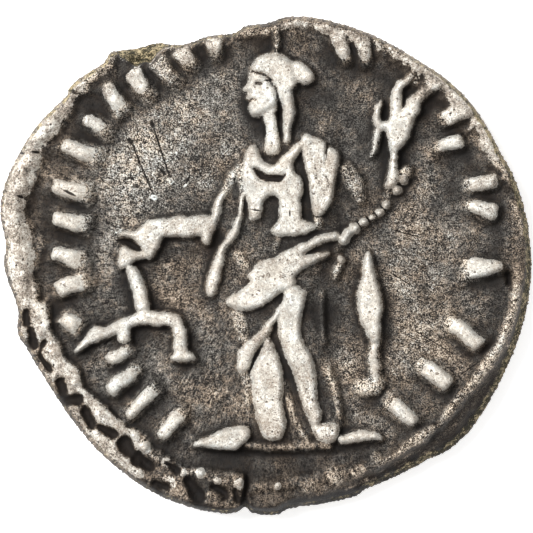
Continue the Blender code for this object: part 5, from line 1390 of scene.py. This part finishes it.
class CoinSettings(bpy.types.PropertyGroup):
    bright: swatch("Bright silver", "Worn tops at their brightest", 0.86, 0.855, 0.815)
    dull: swatch("Dull silver", "Worn tops between the bright grains", 0.6, 0.58, 0.53)
    beige: swatch("Beige toning", "Thin toning on the rough parts of the field", 0.34, 0.295, 0.25)
    brown: swatch("Brown toning", "Toning of middle depth", 0.175, 0.152, 0.13)
    grey: swatch("Grey toning", "Common toning of the field", 0.085, 0.076, 0.067)
    # dark and black toning also colour the painted shadow beside the forms
    dark: swatch("Dark toning", "Thick toning near the forms", 0.034, 0.028, 0.0235)
    black: swatch("Black toning", "Dirt in the hollows", 0.011, 0.009, 0.008)
    warm: swatch("Warm tint", "Tint of the warmer parts of the toning", 1.0, 0.895, 0.785)
    cool: swatch("Cool tint", "Tint of the cooler parts of the toning", 0.91, 0.965, 1.0)
    crust_light: swatch("Light crust", "Crust on the edge at its lightest", 0.44, 0.36, 0.22)
    crust_dark: swatch("Dark crust", "Crust on the edge at its darkest", 0.03, 0.026, 0.014)


class StageSettings(bpy.types.PropertyGroup):
    floor_size: number("Floor size", "Side of the square floor", 0.6, "LENGTH")
    floor_colour: swatch("Floor colour", "Colour of the plain floor", 0.92, 0.92, 0.92)
    floor_glow: number("Floor glow", "Light that the floor gives off by itself", 0.6)
    key_power: number("Key light", "Power of the soft light from the upper left", 0.7, "POWER")
    top_power: number("Top light", "Power of the wide light overhead", 0.2, "POWER")
    air: number("Air light", "Strength of the even light from all round", 0.3)
    lens: number("Lens", "Focal length in millimetres", 500)
    framed_width: number("Framed width", "Width that the picture takes in", 18.122 * MM, "LENGTH")


class DENARIUS_OT_strike_coin(bpy.types.Operator):
    """Strike the fine coin over its plain solid and tone it"""
    bl_idname = "denarius.strike_coin"
    bl_label = "Strike coin"

    def execute(self, context):
        mesh, middle = coin_mesh()
        coin = bpy.data.objects.new("denarius", mesh)
        context.scene.collection.objects.link(coin)
        coin["die_middle"] = middle
        mesh.materials.append(toned_silver(context.scene.denarius_coin, middle))
        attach(coin, "root")
        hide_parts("coin")
        return {"FINISHED"}


def lay_floor(scene, settings):
    """Plain pale floor under the coin."""
    half = settings.floor_size / 2
    corners = [(-half, -half, 0), (half, -half, 0), (half, half, 0), (-half, half, 0)]
    mesh = bpy.data.meshes.new("floor")
    mesh.from_pydata(corners, [], [(0, 1, 2, 3)])
    finish = Finish("pale floor")
    values = {"Base Color": settings.floor_colour, "Roughness": FLOOR_ROUGHNESS, "Emission Color": WHITE,
              "Emission Strength": settings.floor_glow}
    for name, value in values.items():
        finish.feed(finish.shader.inputs[name], value)
    mesh.materials.append(finish.material)
    floor = bpy.data.objects.new("floor", mesh)
    scene.collection.objects.link(floor)


def hang_lights(scene, settings):
    """Even light from all round, and the soft lights, which face the coin."""
    world = bpy.data.worlds.new("even light")
    world.use_nodes = True
    background = world.node_tree.nodes["Background"]
    background.inputs["Color"].default_value = WHITE
    background.inputs["Strength"].default_value = settings.air
    scene.world = world
    scene.view_settings.view_transform = "Standard"
    for (name, place, size), power in zip(SOFT_LIGHTS, (settings.key_power, settings.top_power)):
        lamp = bpy.data.lights.new(name, "AREA")
        lamp.size = size
        lamp.energy = power
        light = bpy.data.objects.new(name, lamp)
        light.location = place
        direction = -light.location
        light.rotation_euler = direction.to_track_quat("-Z", "Y").to_euler()
        scene.collection.objects.link(light)


def aim_camera(scene, settings):
    """Camera with a long lens that looks straight down on the middle of the dies."""
    camera_data = bpy.data.cameras.new("camera")
    camera_data.lens = settings.lens
    height = settings.framed_width * settings.lens / camera_data.sensor_width
    camera_data.clip_start = height / 10
    camera_data.clip_end = CAMERA_REACH
    camera = bpy.data.objects.new("camera", camera_data)
    middle = bpy.data.objects["denarius"]["die_middle"]
    camera.location = (-middle[0] * MM, -middle[1] * MM, CAD_HIGH[2] + height)
    scene.collection.objects.link(camera)
    scene.camera = camera


class DENARIUS_OT_set_stage(bpy.types.Operator):
    """Lay the floor, hang the soft lights and aim the camera straight down"""
    bl_idname = "denarius.set_stage"
    bl_label = "Set stage"

    def execute(self, context):
        for step in (lay_floor, hang_lights, aim_camera):
            step(context.scene, context.scene.denarius_stage)
        return {"FINISHED"}


class DENARIUS_PT_sidebar(bpy.types.Panel):
    """Lists the coin's operators and settings"""
    bl_idname = "DENARIUS_PT_sidebar"
    bl_label = "Denarius"
    bl_space_type = "VIEW_3D"
    bl_region_type = "UI"
    bl_category = "Denarius"

    def draw(self, context):
        for operator, settings in (("denarius.strike_coin", context.scene.denarius_coin),
                                   ("denarius.set_stage", context.scene.denarius_stage)):
            self.layout.operator(operator)
            for name in settings.__annotations__:
                self.layout.prop(settings, name)


CLASSES = (CoinSettings, StageSettings, DENARIUS_OT_strike_coin, DENARIUS_OT_set_stage, DENARIUS_PT_sidebar)


def register():
    for item in CLASSES:
        bpy.utils.register_class(item)
    bpy.types.Scene.denarius_coin = bpy.props.PointerProperty(type=CoinSettings)
    bpy.types.Scene.denarius_stage = bpy.props.PointerProperty(type=StageSettings)


def unregister():
    del bpy.types.Scene.denarius_stage
    del bpy.types.Scene.denarius_coin
    for item in reversed(CLASSES):
        bpy.utils.unregister_class(item)


def main():
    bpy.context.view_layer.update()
    register()
    bpy.ops.denarius.strike_coin()
    bpy.ops.denarius.set_stage()


if __name__ == "__main__":
    main()
